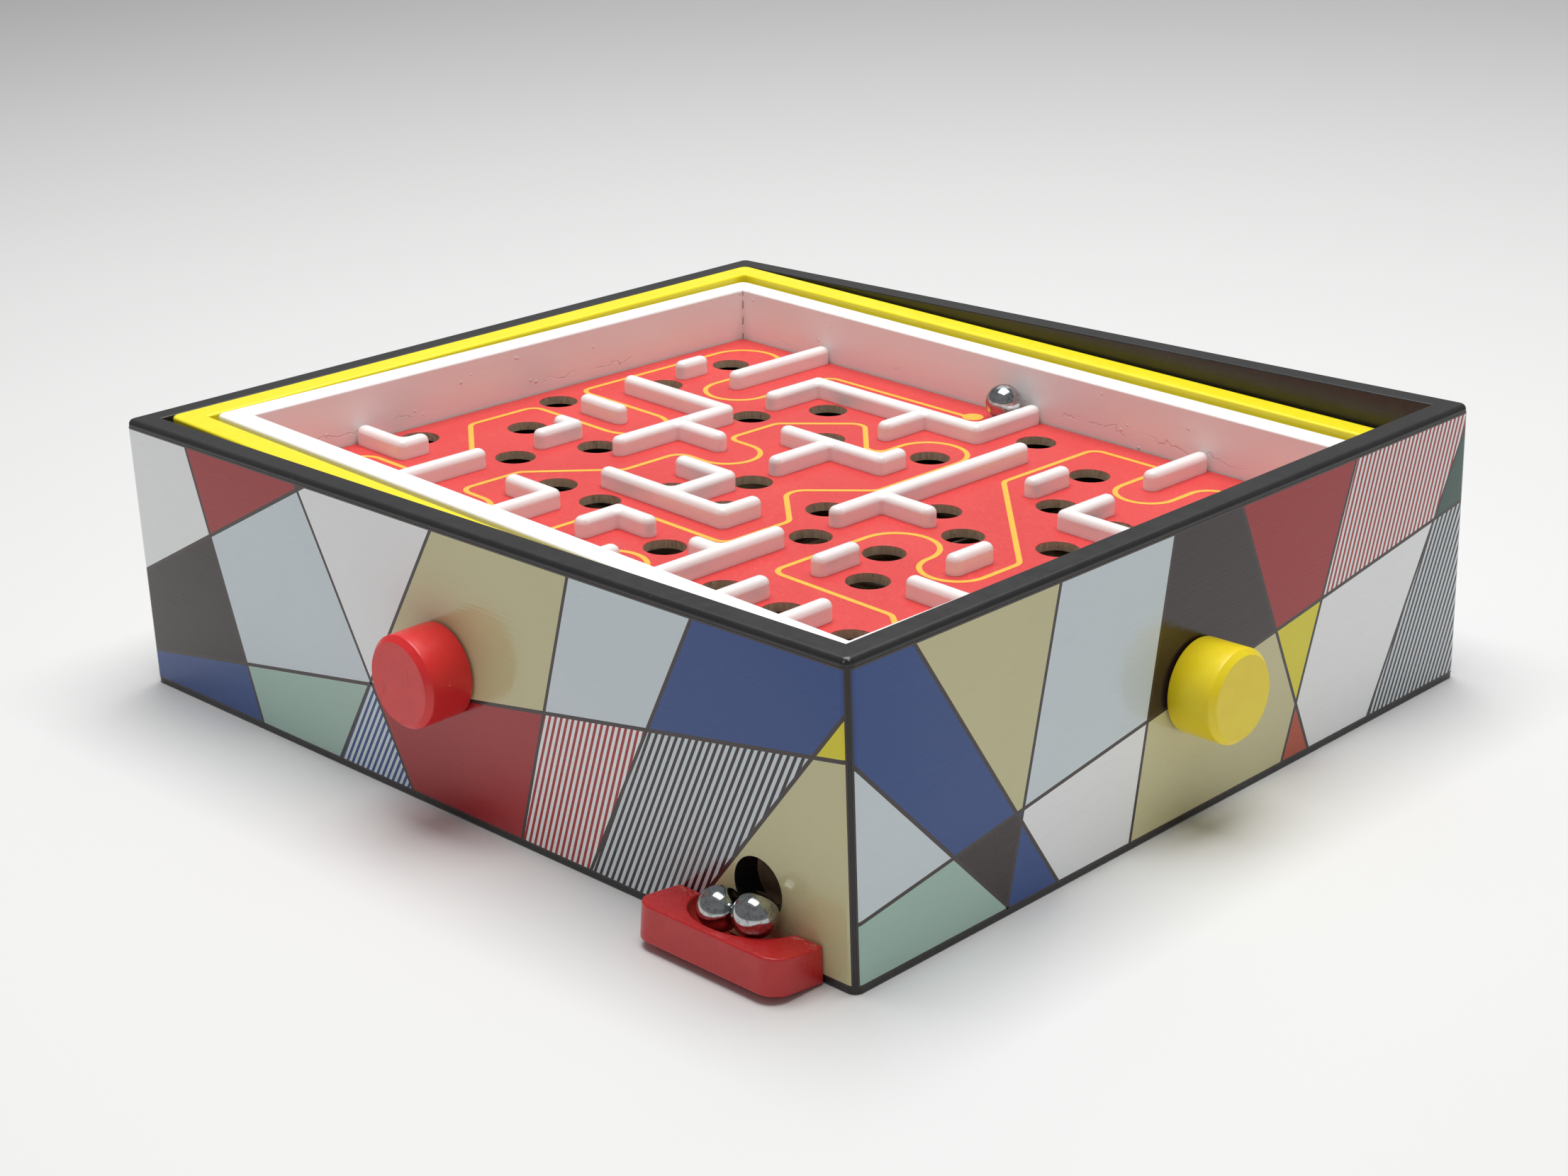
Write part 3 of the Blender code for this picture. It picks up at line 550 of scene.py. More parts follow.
def side_cuts(inner_y, joint):
    """The planes that cut a whole rectangular frame down to each of its four sides."""
    ends = [((0, sign * (inner_y - joint), 0), (0, sign, 0)) for sign in (1, -1)]
    return {"front": [((0, -inner_y, 0), (0, 1, 0))], "back": [((0, inner_y, 0), (0, -1, 0))],
            "left": [((0, 0, 0), (1, 0, 0)), *ends], "right": [((0, 0, 0), (-1, 0, 0)), *ends]}


def subtract(piece, cutter_bm, space):
    """Cuts a closed shape out of a piece."""
    cutter = add_object("cutter", to_mesh(cutter_bm, "cutter"))
    cutter.matrix_world = space
    modifier = piece.modifiers.new("cut", "BOOLEAN")
    modifier.operation = "DIFFERENCE"
    modifier.solver = "EXACT"
    modifier.object = cutter
    bake(piece)
    bpy.data.objects.remove(cutter, do_unlink=True)
    piece.data.shade_smooth()
    piece.data.set_sharp_from_angle(angle=math.radians(40))


def rods(places, radius, length, sides=48):
    """Cylinders for cutting, each at a place along a direction."""
    bm = bmesh.new()
    for centre, direction in places:
        turn = Vector(direction).to_track_quat("Z", "Y").to_matrix().to_4x4()
        bmesh.ops.create_cone(bm, cap_ends=True, segments=sides, radius1=radius, radius2=radius,
                              depth=length, matrix=Matrix.Translation(centre) @ turn)
    return bm


def turned(profile, steps=96):
    """A body turned about Z from a profile of (radius, height) points, both ends on the axis
    or the profile closed."""
    bm = bmesh.new()
    verts = [bm.verts.new((radius, 0, height)) for radius, height in profile]
    edges = [bm.edges.new(pair) for pair in zip(verts, verts[1:])]
    bmesh.ops.spin(bm, geom=verts + edges, axis=(0, 0, 1), cent=(0, 0, 0), dvec=(0, 0, 0),
                   angle=math.tau, steps=steps, use_merge=False, use_duplicate=False)
    bmesh.ops.remove_doubles(bm, verts=bm.verts, dist=1e-4)
    bmesh.ops.recalc_face_normals(bm, faces=bm.faces)
    return bm


def arc(centre_r, centre_z, radius, start, end, steps=8):
    """Points of an arc in a profile, from one angle to another in degrees."""
    points = []
    for step in range(steps + 1):
        angle = math.radians(start + (end - start) * step / steps)
        points.append((centre_r + radius * math.cos(angle), centre_z + radius * math.sin(angle)))
    return points


def tube(points, radius, sides=14, strands=0, lay=0.0):
    """A closed round tube along points; with strands it is grooved like a laid cord."""
    path = [Vector(point) for point in points]
    bm = bmesh.new()
    rings = []
    travelled = 0.0
    normal = None
    for index, point in enumerate(path):
        before, after = path[max(index - 1, 0)], path[min(index + 1, len(path) - 1)]
        tangent = (after - before).normalized()
        if normal is None:
            normal = tangent.orthogonal().normalized()
        else:
            normal = (normal - tangent * normal.dot(tangent)).normalized()
            travelled += (point - path[index - 1]).length
        side = tangent.cross(normal)
        loop = []
        for step in range(sides):
            angle = math.tau * step / sides
            reach = radius
            if strands:
                reach *= 0.84 + 0.16 * abs(math.cos(strands * (angle - lay * travelled) / 2))
            loop.append(bm.verts.new(point + reach * (math.cos(angle) * normal + math.sin(angle) * side)))
        rings.append(loop)
    for loop, following in zip(rings, rings[1:]):
        for step in range(sides):
            after = (step + 1) % sides
            bm.faces.new((loop[step], loop[after], following[after], following[step]))
    bm.faces.new(list(reversed(rings[0])))
    bm.faces.new(rings[-1])
    bmesh.ops.recalc_face_normals(bm, faces=bm.faces)
    return bm


# Box -------------------------------------------------------------------------------------

BOX_W, BOX_D = 330.0, 286.0
FILM = 0.12                    # thickness of the printed film
PANEL = 8.6
OUTLET_X, OUTLET_Z, OUTLET_R = 130.0, 19.8, 9.0
SHAFT_HOLE_R, PIN_HOLE_R = 2.9, 2.4
# Lengths of the cutters, centred on the face where they start: right through, and blind
THROUGH, SHAFT_SEAT, PANEL_PIN_SEAT, RAIL_PIN_SEAT = 40.0, 10.6, 12.0, 13.0
OUTLET_CUT, FILM_CUT = 60.0, 20.0
CORNER_R, RIM_R, EDGE_R = 3.0, 1.8, 0.6


def make_panels():
    """The four upright panels, cut from one frame so that the painted rim runs on."""
    low, high = union_box([f"{side}_panel" for side in ("front", "back", "left", "right")], BOX)
    skin = Vector((FILM, FILM, 0))
    inner_x, inner_y = high.x - PANEL, high.y - PANEL
    seats = {
        "front": ((0, -inner_y, FRONT_SHAFT_Z), (0, 1, 0), THROUGH),
        "back": ((0, inner_y, FRONT_SHAFT_Z), (0, 1, 0), SHAFT_SEAT),
        "left": ((-inner_x, 0, SIDE_SHAFT_Z), (1, 0, 0), SHAFT_SEAT),
        "right": ((inner_x, 0, SIDE_SHAFT_Z), (1, 0, 0), THROUGH),
    }
    for side, planes in side_cuts(inner_y, 0.02).items():
        name = f"{side}_panel"
        bm = ring(low + skin, high - skin, PANEL - FILM, CORNER_R, EDGE_R, RIM_R)
        for point, normal in planes:
            cut_off(bm, point, normal)
        piece = stand_for(name, f"{name}_board", to_mesh(bm, name), ["black"], BOX)
        place, direction, length = seats[side]
        subtract(piece, rods([(place, direction)], SHAFT_HOLE_R, length, 32), BOX)
        if side == "front":
            outlet = ((OUTLET_X, low.y, OUTLET_Z), (0, 1, 0))
            subtract(piece, rods([outlet], OUTLET_R, OUTLET_CUT, 96), BOX)
        if side in ("front", "back"):
            pin = ((0, math.copysign(inner_y, place[1]), PIVOT_Z), (0, 1, 0))
            subtract(piece, rods([pin], PIN_HOLE_R, PANEL_PIN_SEAT, 32), BOX)
        keep_flats_flat(piece)


# The prints: the straight cuts across a sheet, as points on its edges, and the paints of the
# cells they leave, from the largest cell to the smallest. Opposite sides share a design.
WIDE_PRINT = {
    "width": BOX_W,
    "cuts": (((-165, 40), (-60, 93)), ((-130, 93), (-100, 0)), ((-70, 93), (-20, 0)),
             ((-165, 12), (165, 66)), ((0, 93), (-60, 0)), ((60, 93), (30, 0)),
             ((110, 93), (60, 0)), ((165, 80), (100, 0))),
    "paints": ("sand", "mist", "umber_hatch", "brick", "sand", "chalk", "blue", "mist",
               "umber", "brick_hatch", "chalk", "mint", "brick", "blue", "blue_hatch",
               "lemon", "umber", "ember"),
}
NARROW_PRINT = {
    "width": BOX_D,
    "cuts": (((-143, 66), (-80, 0)), ((-120, 93), (-60, 0)), ((-60, 93), (-84, 0)),
             ((-143, 20), (143, 62)), ((-10, 93), (-30, 0)), ((20, 93), (60, 0)),
             ((80, 93), (44, 0)), ((143, 90), (90, 0))),
    "paints": ("mist", "sand", "chalk", "umber", "brick_hatch", "blue", "umber_hatch", "sand",
               "brick", "chalk", "mint", "mist", "umber", "lemon", "blue", "pine", "ember",
               "blue", "brick"),
}
PRINTS = {"front": {"turn": 0, **WIDE_PRINT}, "right": {"turn": 1, **NARROW_PRINT},
          "back": {"turn": 2, **WIDE_PRINT}, "left": {"turn": 3, **NARROW_PRINT}}
HATCHES = {"umber_hatch": ("umber", "mist", 64), "brick_hatch": ("brick", "chalk", 70),
           "blue_hatch": ("blue", "mist", 58)}     # two paints and the stripes' slope, degrees
SHEET_BOTTOM, SHEET_TOP = 2.1, 91.1
LINE = 1.2                     # width of the dark outlines
HATCH_PITCH, HATCH_SHARE = 2.2, 0.48


def split_face(bm, faces, point, normal):
    """Cuts the given faces along a line and returns all their parts."""
    geometry = set(faces)
    for face in faces:
        geometry.update(face.verts)
        geometry.update(face.edges)
    cut = bmesh.ops.bisect_plane(bm, geom=list(geometry), plane_co=point, plane_no=normal, dist=1e-4)
    return [item for item in cut["geom"] if isinstance(item, bmesh.types.BMFace)]


def across_line(first, second):
    """A point of a line in the sheet and the direction across it."""
    direction = Vector((*second, 0)) - Vector((*first, 0))
    return Vector((*first, 0)), Vector((-direction.y, direction.x, 0)).normalized()


def hatch(bm, face, first, second, slope, index):
    """Fills a cell with parallel stripes of two paints."""
    angle = math.radians(slope)
    across = Vector((math.sin(angle), -math.cos(angle), 0))
    reach = [vert.co.dot(across) for vert in face.verts]
    parts = [face]
    offset = math.floor(min(reach) / HATCH_PITCH) * HATCH_PITCH
    while offset < max(reach):
        for place in (offset, offset + HATCH_PITCH * HATCH_SHARE):
            if min(reach) < place < max(reach):
                parts = split_face(bm, parts, across * place, across)
        offset += HATCH_PITCH
    for part in parts:
        share = (part.calc_center_median().dot(across) / HATCH_PITCH) % 1.0
        part.material_index = index[first if share < HATCH_SHARE else second]


def make_print(side, design):
    """A printed sheet round one side of the box: outlined facets, some of them hatched.
    It is cut in the plane, then wrapped a little way round both corners."""
    index = {name: number for number, name in enumerate(PRINT_COLOURS)}
    half = design["width"] / 2
    flat_half = half - CORNER_R
    wrap = CORNER_R * math.radians(35)
    edge = flat_half + wrap
    bm = bmesh.new()
    corners = ((-edge, SHEET_BOTTOM), (edge, SHEET_BOTTOM), (edge, SHEET_TOP), (-edge, SHEET_TOP))
    bm.faces.new([bm.verts.new((u, v, 0)) for u, v in corners])
    for first, second in design["cuts"]:
        split_face(bm, list(bm.faces), *across_line(first, second))
    cells = sorted(bm.faces, key=lambda face: -face.calc_area())
    inset = bmesh.ops.inset_individual(bm, faces=cells, thickness=LINE / 2,
                                       use_even_offset=True)
    for border in inset["faces"]:
        border.material_index = index["outline"]
    for face, paint in zip(cells, design["paints"]):
        if paint in HATCHES:
            hatch(bm, face, *HATCHES[paint], index)
        else:
            face.material_index = index[paint]
    steps = 4
    for sign in (-1, 1):
        for step in range(steps):
            place = Vector((sign * (flat_half + wrap * step / steps), 0, 0))
            split_face(bm, list(bm.faces), place, Vector((1, 0, 0)))
    for vert in bm.verts:
        u, v = vert.co.x, vert.co.y
        past = max(0.0, abs(u) - flat_half) / CORNER_R
        depth = CORNER_R * (1 - math.cos(past))
        reach = u if past == 0 else math.copysign(flat_half + CORNER_R * math.sin(past), u)
        vert.co = (reach, depth, v)
    distance = (BOX_D if design["turn"] % 2 == 0 else BOX_W) / 2
    bmesh.ops.translate(bm, verts=bm.verts, vec=(0, -distance, 0))
    bmesh.ops.rotate(bm, verts=bm.verts, cent=(0, 0, 0),
                     matrix=Matrix.Rotation(math.radians(90) * design["turn"], 3, "Z"))
    bmesh.ops.recalc_face_normals(bm, faces=bm.faces)
    mesh = to_mesh(bm, f"{side}_print")
    piece = put(f"{side}_print", mesh, list(PRINT_COLOURS), BOX, "box")
    outward = mesh.polygons[0].normal.dot(mesh.polygons[0].center) > 0
    solid = piece.modifiers.new("film", "SOLIDIFY")
    solid.thickness = FILM - 0.02
    solid.offset = -1.0 if outward else 1.0
    bake(piece)
    return piece


def make_prints():
    for side, design in PRINTS.items():
        piece = make_print(side, design)
        if side == "front":
            outlet = ((OUTLET_X, -BOX_D / 2, OUTLET_Z), (0, 1, 0))
            subtract(piece, rods([outlet], OUTLET_R, FILM_CUT, 96), BOX)
            shaft = ((0, -BOX_D / 2, FRONT_SHAFT_Z), (0, 1, 0))
            subtract(piece, rods([shaft], SHAFT_HOLE_R, FILM_CUT, 32), BOX)
        if side == "right":
            shaft = ((BOX_W / 2, 0, SIDE_SHAFT_Z), (1, 0, 0))
            subtract(piece, rods([shaft], SHAFT_HOLE_R, FILM_CUT, 32), BOX)


# Tilting frames --------------------------------------------------------------------------

OUTER_RAIL, WHITE_RAIL = 8.9, 9.0


def make_rails(prefix, rail, space, paint):
    """A frame's four rails, cut from one painted frame at their joints."""
    names = [f"{prefix}_{side}_rail" for side in ("front", "back", "left", "right")]
    low, high = union_box(names, space)
    rails = {}
    for side, planes in side_cuts(high.y - rail, 0.03).items():
        bm = ring(low, high, rail, 3.2, 0.9)
        for point, normal in planes:
            cut_off(bm, point, normal)
        name = f"{prefix}_{side}_rail"
        rails[side] = stand_for(name, f"{name}_wood", to_mesh(bm, name), [paint], space)
    return rails, low, high


def make_frames():
    outer, _, outer_high = make_rails("outer_frame", OUTER_RAIL, OUTER, "yellow")
    inner, _, inner_high = make_rails("inner_frame", WHITE_RAIL, INNER, "white")
    for side, sign in (("front", -1), ("back", 1)):
        seat = ((0, sign * outer_high.y, 0), (0, 1, 0))
        subtract(outer[side], rods([seat], PIN_HOLE_R, RAIL_PIN_SEAT, 32), OUTER)
    for side, sign in (("left", -1), ("right", 1)):
        seat = ((sign * (outer_high.x - OUTER_RAIL), 0, 0), (1, 0, 0))
        subtract(outer[side], rods([seat], PIN_HOLE_R, RAIL_PIN_SEAT, 32), OUTER)
        seat = ((sign * inner_high.x, 0, 0), (1, 0, 0))
        subtract(inner[side], rods([seat], PIN_HOLE_R, RAIL_PIN_SEAT, 32), INNER)
    for piece in [*outer.values(), *inner.values()]:
        keep_flats_flat(piece)


# Maze board ------------------------------------------------------------------------------

HOLE_R = 6.8
HOLES = (
    (-113, 84), (-48, 69.5), (-62, 45), (-111.5, 48.5), (-26, 45.5), (27.5, 94.5),
    (13, 56), (62.5, 80), (74, 49), (51, 19), (99, 19), (99.5, 45.5),
    (71, 7), (-123.5, 8), (-11.5, -4), (24, -5.5), (-108, -19.5), (-75, -16),
    (38, -27), (64, -21.5), (76.5, -42), (-86, -43), (-125, -53.5), (-54.5, -51.5),
    (-32.5, -52), (13, -65.5), (50.5, -76.5), (75.5, -76.5), (103.5, -77.5), (-24.5, -27.5),
    (0.5, -27.5), (-105, -91), (-61, -91), (-9, -97), (88, -97), (121, -12),
)

WALL_WIDTH, WALL_HEIGHT, WALL_CORNER, WALL_CROWN, WALL_FILLET = 5.5, 6.5, 2.6, 2.35, 1.3
RAIL_END_X, RAIL_END_Y = 132.75, 109.55
WALLS = (
    ((-63, 80, 12.5, 80), (12.5, 80, 12.5, RAIL_END_Y), (-63, 57, -63, 80), (-11.5, 60.5, -11.5, 80)),
    ((-90.5, 65.5, -90.5, RAIL_END_Y),),
    ((-113.5, 60, -113.5, 68.5),),
    ((-112.5, 33.75, -63.5, 33.75), (-63.5, -15.5, -63.5, 33.75), (-63.5, 11.25, -43.5, 11.25)),
    ((-31, 32.5, 12, 32.5), (12, 32.5, 12, 41), (-11.5, 7.5, -11.5, 32.5)),
    ((-106.5, 7.5, -90, 7.5),),
    ((-94.5, -15, -88, -15), (-88, -29.5, -88, -15)),
    ((-32.5, -15, -12, -15), (-12, -40, -12, -15), (-41.5, -40, 12, -40), (12, -40, 12, -27)),
    ((36.75, -13.75, 36.75, 74.5), (36.75, 6.25, 56.75, 6.25)),
    ((62, 51.25, 62, 65.5),),
    ((85, 84, 85, RAIL_END_Y),),
    ((89.5, 34.5, 89.5, 54.5), (89.5, 34.5, RAIL_END_X, 34.5)),
    ((90.5, -19, 90.5, -5.75),),
    ((62.5, -48, 62.5, -34.75),),
    ((95, -41.5, RAIL_END_X, -41.5),),
    ((36.75, -91.5, 36.75, -41.25), (26.5, -64.5, 36.75, -64.5)),
    ((-12.25, -62, 1.25, -62), (-12.25, -76.5, -12.25, -62)),
    ((-57.5, -67, -38.75, -67), (-38.75, -RAIL_END_Y, -38.75, -67)),
    ((-86.5, -91.5, -86.5, -58.75),),
    ((-RAIL_END_X, -70.25, -112.25, -70.25), (-112.25, -70.25, -112.25, -62.75)),
    ((63, -91.5, 63, -73.75),),
    ((88.5, -91.5, 88.5, -73.75),),
    ((12.75, -RAIL_END_Y, 12.75, -87.5),),
)

# Corners of the printed route, each with its radius
ROUTE_WIDTH, ROUTE_DOT = 1.8, 3.8
ROUTE = (
    (-6.5, 99.2, 0), (-75.6, 98.9, 4.5), (-75.6, 51.5, 12.1), (-99.8, 51.5, 12.1),
    (-99.8, 104.6, 13.7), (-127.4, 104.6, 13.7), (-127.4, 22, 4.5), (-73.85, 22, 12.1),
    (-73.85, -2.3, 12.1), (-124.5, -2.3, 4.5), (-124.5, -31.5, 5), (-96, -53.5, 5),
    (-96, -76.5, 4.5), (-124, -76.5, 7), (-124, -102, 7), (-49, -102, 12.4),
    (-49, -77, 12.4), (-72.9, -77, 4.5), (-72.9, -52, 4), (-50.3, -25.6, 4),
    (-50.3, -0.6, 5), (-27.4, -0.6, 11.1), (-27.4, 21.8, 11.1), (-49.9, 22, 4.5),
    (-49.9, 45.6, 5), (-28, 67.5, 5), (-2.4, 41.3, 4.4), (-2.4, 71.3, 12.8),
    (23.4, 71.3, 12.8), (23.4, 19, 5), (2, -2.2, 6.5), (23.8, -22, 5),
    (23.8, -50.5, 4.5), (-23.8, -50.5, 4.5), (-23.8, -106, 5), (0, -106, 5),
    (0, -76, 12), (24, -76, 12), (24, -106.3, 5), (118, -106.3, 6),
    (118, -72, 9), (100, -56.8, 5), (50.8, -56.8, 4.5), (50.8, -2.3, 13),
    (76.9, -2.3, 13), (76.9, -26.7, 11), (99.1, -26.7, 11), (99.1, 1, 5),
    (46.5, 55, 5), (46.5, 102.3, 4.5), (76.2, 102.3, 4.5), (76.2, 69.4, 10.3),
    (96.9, 69.4, 10.3), (96.9, 98, 8), (119, 98, 0),
)


def make_board():
    low, high = node_box("maze_board", INNER)
    bm = block(low + Vector((0.25, 0.25, 0)), high - Vector((0.25, 0.25, 0)))
    board = stand_for("maze_board", "maze_board_panel", to_mesh(bm, "maze_board"),
                      ["board", "fibreboard"], INNER)
    middle = (low.z + high.z) / 2
    places = [((x, y, middle), (0, 0, 1)) for x, y in HOLES]
    subtract(board, rods(places, HOLE_R, 20.0, 48), INNER)
    bm = bmesh.new()
    bm.from_mesh(board.data)
    lips = [edge for edge in bm.edges
            if all(vert.co.z > high.z - 1e-3 for vert in edge.verts)
            and len(edge.link_faces) == 2 and edge.calc_face_angle() > math.radians(60)
            and max(abs(edge.verts[0].co.x) - high.x, abs(edge.verts[0].co.y) - high.y) < -1.0]
    bevel(bm, lips, 0.22, 2)
    for face in bm.faces:
        top = face.normal.z > 0.35
        face.material_index = 0 if top else 1
    bm.to_mesh(board.data)
    bm.free()
    board.data.shade_smooth()
    board.data.set_sharp_from_angle(angle=math.radians(50))
    keep_flats_flat(board)
    return high.z


def wall_bmesh(strokes, base):
    """A wall strip of joined straight strokes, rounded in plan and along its upper edge."""
    half = WALL_WIDTH / 2
    spans = [(min(x0, x1) - half, min(y0, y1) - half, max(x0, x1) + half, max(y0, y1) + half)
             for x0, y0, x1, y1 in strokes]
    xs = sorted({x for span in spans for x in (span[0], span[2])})
    ys = sorted({y for span in spans for y in (span[1], span[3])})
    bm = bmesh.new()
    corners = {}

    def corner(x, y):
        if (x, y) not in corners:
            corners[x, y] = bm.verts.new((x, y, base))
        return corners[x, y]

    for left, right in zip(xs, xs[1:]):
        for low, high in zip(ys, ys[1:]):
            x, y = (left + right) / 2, (low + high) / 2
            if any(span[0] < x < span[2] and span[1] < y < span[3] for span in spans):
                bm.faces.new((corner(left, low), corner(right, low),
                              corner(right, high), corner(left, high)))
    inner_edges = [edge for edge in bm.edges if len(edge.link_faces) == 2]
    bmesh.ops.dissolve_edges(bm, edges=inner_edges, use_verts=False)
    straight = [vert for vert in bm.verts if vert.calc_edge_angle(0) < math.radians(1)]
    bmesh.ops.dissolve_verts(bm, verts=straight)
    raised = bmesh.ops.extrude_face_region(bm, geom=list(bm.faces))
    lift = [item for item in raised["geom"] if isinstance(item, bmesh.types.BMVert)]
    bmesh.ops.translate(bm, verts=lift, vec=(0, 0, WALL_HEIGHT - 0.05 - WALL_CROWN))
    bmesh.ops.recalc_face_normals(bm, faces=bm.faces)
    for radius, convex in ((WALL_CORNER, True), (WALL_FILLET, False)):
        bm.normal_update()
        bevel(bm, [edge for edge in sharp_edges(bm) if is_upright(edge) and edge.is_convex == convex],
              radius, 7)
    bm.normal_update()
    top = max(vert.co.z for vert in bm.verts)
    crown = [face for face in bm.faces if face.normal.z > 0.9 and face.calc_center_median().z > top - 1e-3]
    steps = 8
    for step in range(steps):
        before, after = (math.pi / 2 * part / steps for part in (step, step + 1))
        inward = WALL_CROWN * (math.cos(before) - math.cos(after))
        bmesh.ops.inset_region(bm, faces=crown, thickness=inward, use_even_offset=True,
                               depth=0.0)
        for vert in {vert for face in crown for vert in face.verts}:
            vert.co.z = top + WALL_CROWN * math.sin(after)
    return bm


def make_walls(board_top):
    for number, strokes in enumerate(WALLS, start=1):
        node = f"maze_wall_{number:02d}"
        mesh = to_mesh(wall_bmesh(strokes, board_top + 0.05), node)
        keep_flats_flat(stand_for(node, f"{node}_strip", mesh, ["wall"], INNER))


def rounded_path(corners):
    """Points along straight runs joined by arcs of the given radii."""
    points = [Vector(corners[0][:2])]
    for (ax, ay, _), (bx, by, radius), (cx, cy, _) in zip(corners, corners[1:], corners[2:]):
        here = Vector((bx, by))
        back = (Vector((ax, ay)) - here).normalized()
        on = (Vector((cx, cy)) - here).normalized()
        half_angle = back.angle(on) / 2
        reach = radius / math.tan(half_angle)
        centre = here + (back + on).normalized() * (radius / math.sin(half_angle))
        first = here + back * reach - centre
        sweep = math.pi - 2 * half_angle
        if back.x * on.y - back.y * on.x > 0:
            sweep = -sweep
        steps = max(3, round(abs(math.degrees(sweep)) / 6))
        for step in range(steps + 1):
            turn = Matrix.Rotation(sweep * step / steps, 2)
            points.append(centre + turn @ first)
    points.append(Vector(corners[-1][:2]))
    return points


def make_route(board_top):
    """The printed line as a thin layer of paint, with a dot at the start and the finish."""
    points = rounded_path(ROUTE)
    layer, base = 0.05, board_top + 0.02
    bm = bmesh.new()
    rows = []
    for index, point in enumerate(points):
        along = points[min(index + 1, len(points) - 1)] - points[max(index - 1, 0)]
        across = Vector((-along.y, along.x)).normalized() * ROUTE_WIDTH / 2
        rows.append([bm.verts.new((*(point + across), base)), bm.verts.new((*(point - across), base))])
    for row, following in zip(rows, rows[1:]):
        bm.faces.new((row[0], row[1], following[1], following[0]))
    raised = bmesh.ops.extrude_face_region(bm, geom=list(bm.faces))
    lift = [item for item in raised["geom"] if isinstance(item, bmesh.types.BMVert)]
    bmesh.ops.translate(bm, verts=lift, vec=(0, 0, layer))
    for x, y in ((-6.5, 100.3), ROUTE[-1][:2]):
        bmesh.ops.create_cone(bm, cap_ends=True, segments=48, radius1=ROUTE_DOT, radius2=ROUTE_DOT,
                              depth=layer, matrix=Matrix.Translation((x, y, base + layer / 2 + 0.01)))
    bmesh.ops.recalc_face_normals(bm, faces=bm.faces)
    route = put("route_line", to_mesh(bm, "route_line"), ["route"], INNER, "inner_frame",
                flat_shading=True)
    places = [((x, y, board_top), (0, 0, 1)) for x, y in HOLES]
    subtract(route, rods(places, HOLE_R, 4.0, 48), INNER)


# Knobs, shafts and pins ------------------------------------------------------------------

KNOB_R, SHAFT_R, BORE_R = 14.4, 2.5, 2.8
KNOB_GAP, KNOB_END, BORE_DEPTH, SHAFT_IN_KNOB = 0.7, 16.9, 11.3, 11.0


def make_knob(side, space, face, far, paint):
    start, end = face + KNOB_GAP, face + KNOB_END
    chamfer, soft = 1.75, 0.9
    profile = [(0, end), (6, end), (KNOB_R - chamfer, end)]
    lip = soft * math.tan(math.radians(22.5))
    profile += arc(KNOB_R - soft, end - chamfer - lip, soft, 45, 0, 5)
    profile += [(KNOB_R, (start + end) / 2)]
    profile += arc(KNOB_R - 0.7, start + 0.7, 0.7, 0, -90, 5)
    profile += [(BORE_R, start), (BORE_R, start + BORE_DEPTH), (0, start + BORE_DEPTH)]
    stand_for(f"{side}_knob", f"{side}_knob_turning", to_mesh(turned(profile, 128), "knob"),
              [paint], space)
    tip = start + SHAFT_IN_KNOB
    rod = [(0, tip), (SHAFT_R - 0.3, tip), (SHAFT_R, tip - 0.3), (SHAFT_R, 0.0), (SHAFT_R, -far + 0.3),
           (SHAFT_R - 0.3, -far), (0, -far)]
    stand_for(f"{side}_shaft", f"{side}_shaft_rod", to_mesh(turned(rod, 48), "shaft"),
              ["steel"], space)
    inside = face - PANEL - 0.5
    collar = [(BORE_R, inside), (4.6, inside), (5.0, inside - 0.4), (5.0, inside - 2.6),
              (4.6, inside - 3.0), (BORE_R, inside - 3.0), (BORE_R, inside)]
    stand_for(f"{side}_shaft_collar", f"{side}_collar_ring", to_mesh(turned(collar, 48), "collar"),
              ["steel"], space)


def make_pins():
    half, radius, tip = 6.8, 2.0, 0.4
    profile = [(0, half), (radius - tip, half), (radius, half - tip), (radius, tip - half),
               (radius - tip, -half), (0, -half)]
    for node in ("outer_pivot_pin_front", "outer_pivot_pin_back", "inner_pivot_pin_left",
                 "inner_pivot_pin_right"):
        space = BOX if node.startswith("outer") else OUTER
        low, high = node_box(node, space)
        lie = Matrix.Rotation(math.radians(90), 4, "X" if node.startswith("outer") else "Y")
        place = space @ Matrix.Translation((low + high) / 2) @ lie
        stand_for(node, f"{node}_rod", to_mesh(turned(profile, 40), "pin"), ["steel"], place)


# Tray and balls --------------------------------------------------------------------------

TRAY_SIZE, TRAY_BURY, TRAY_TILT, TRAY_X = (54.6, 19.0, 10.8), 4.0, -7.0, 126.7
SCOOP_PLACE, SCOOP_SEMI = (126.0, -143.0, 11.02), (17.8, 15.0, 8.8)
BALL_R = 6.35


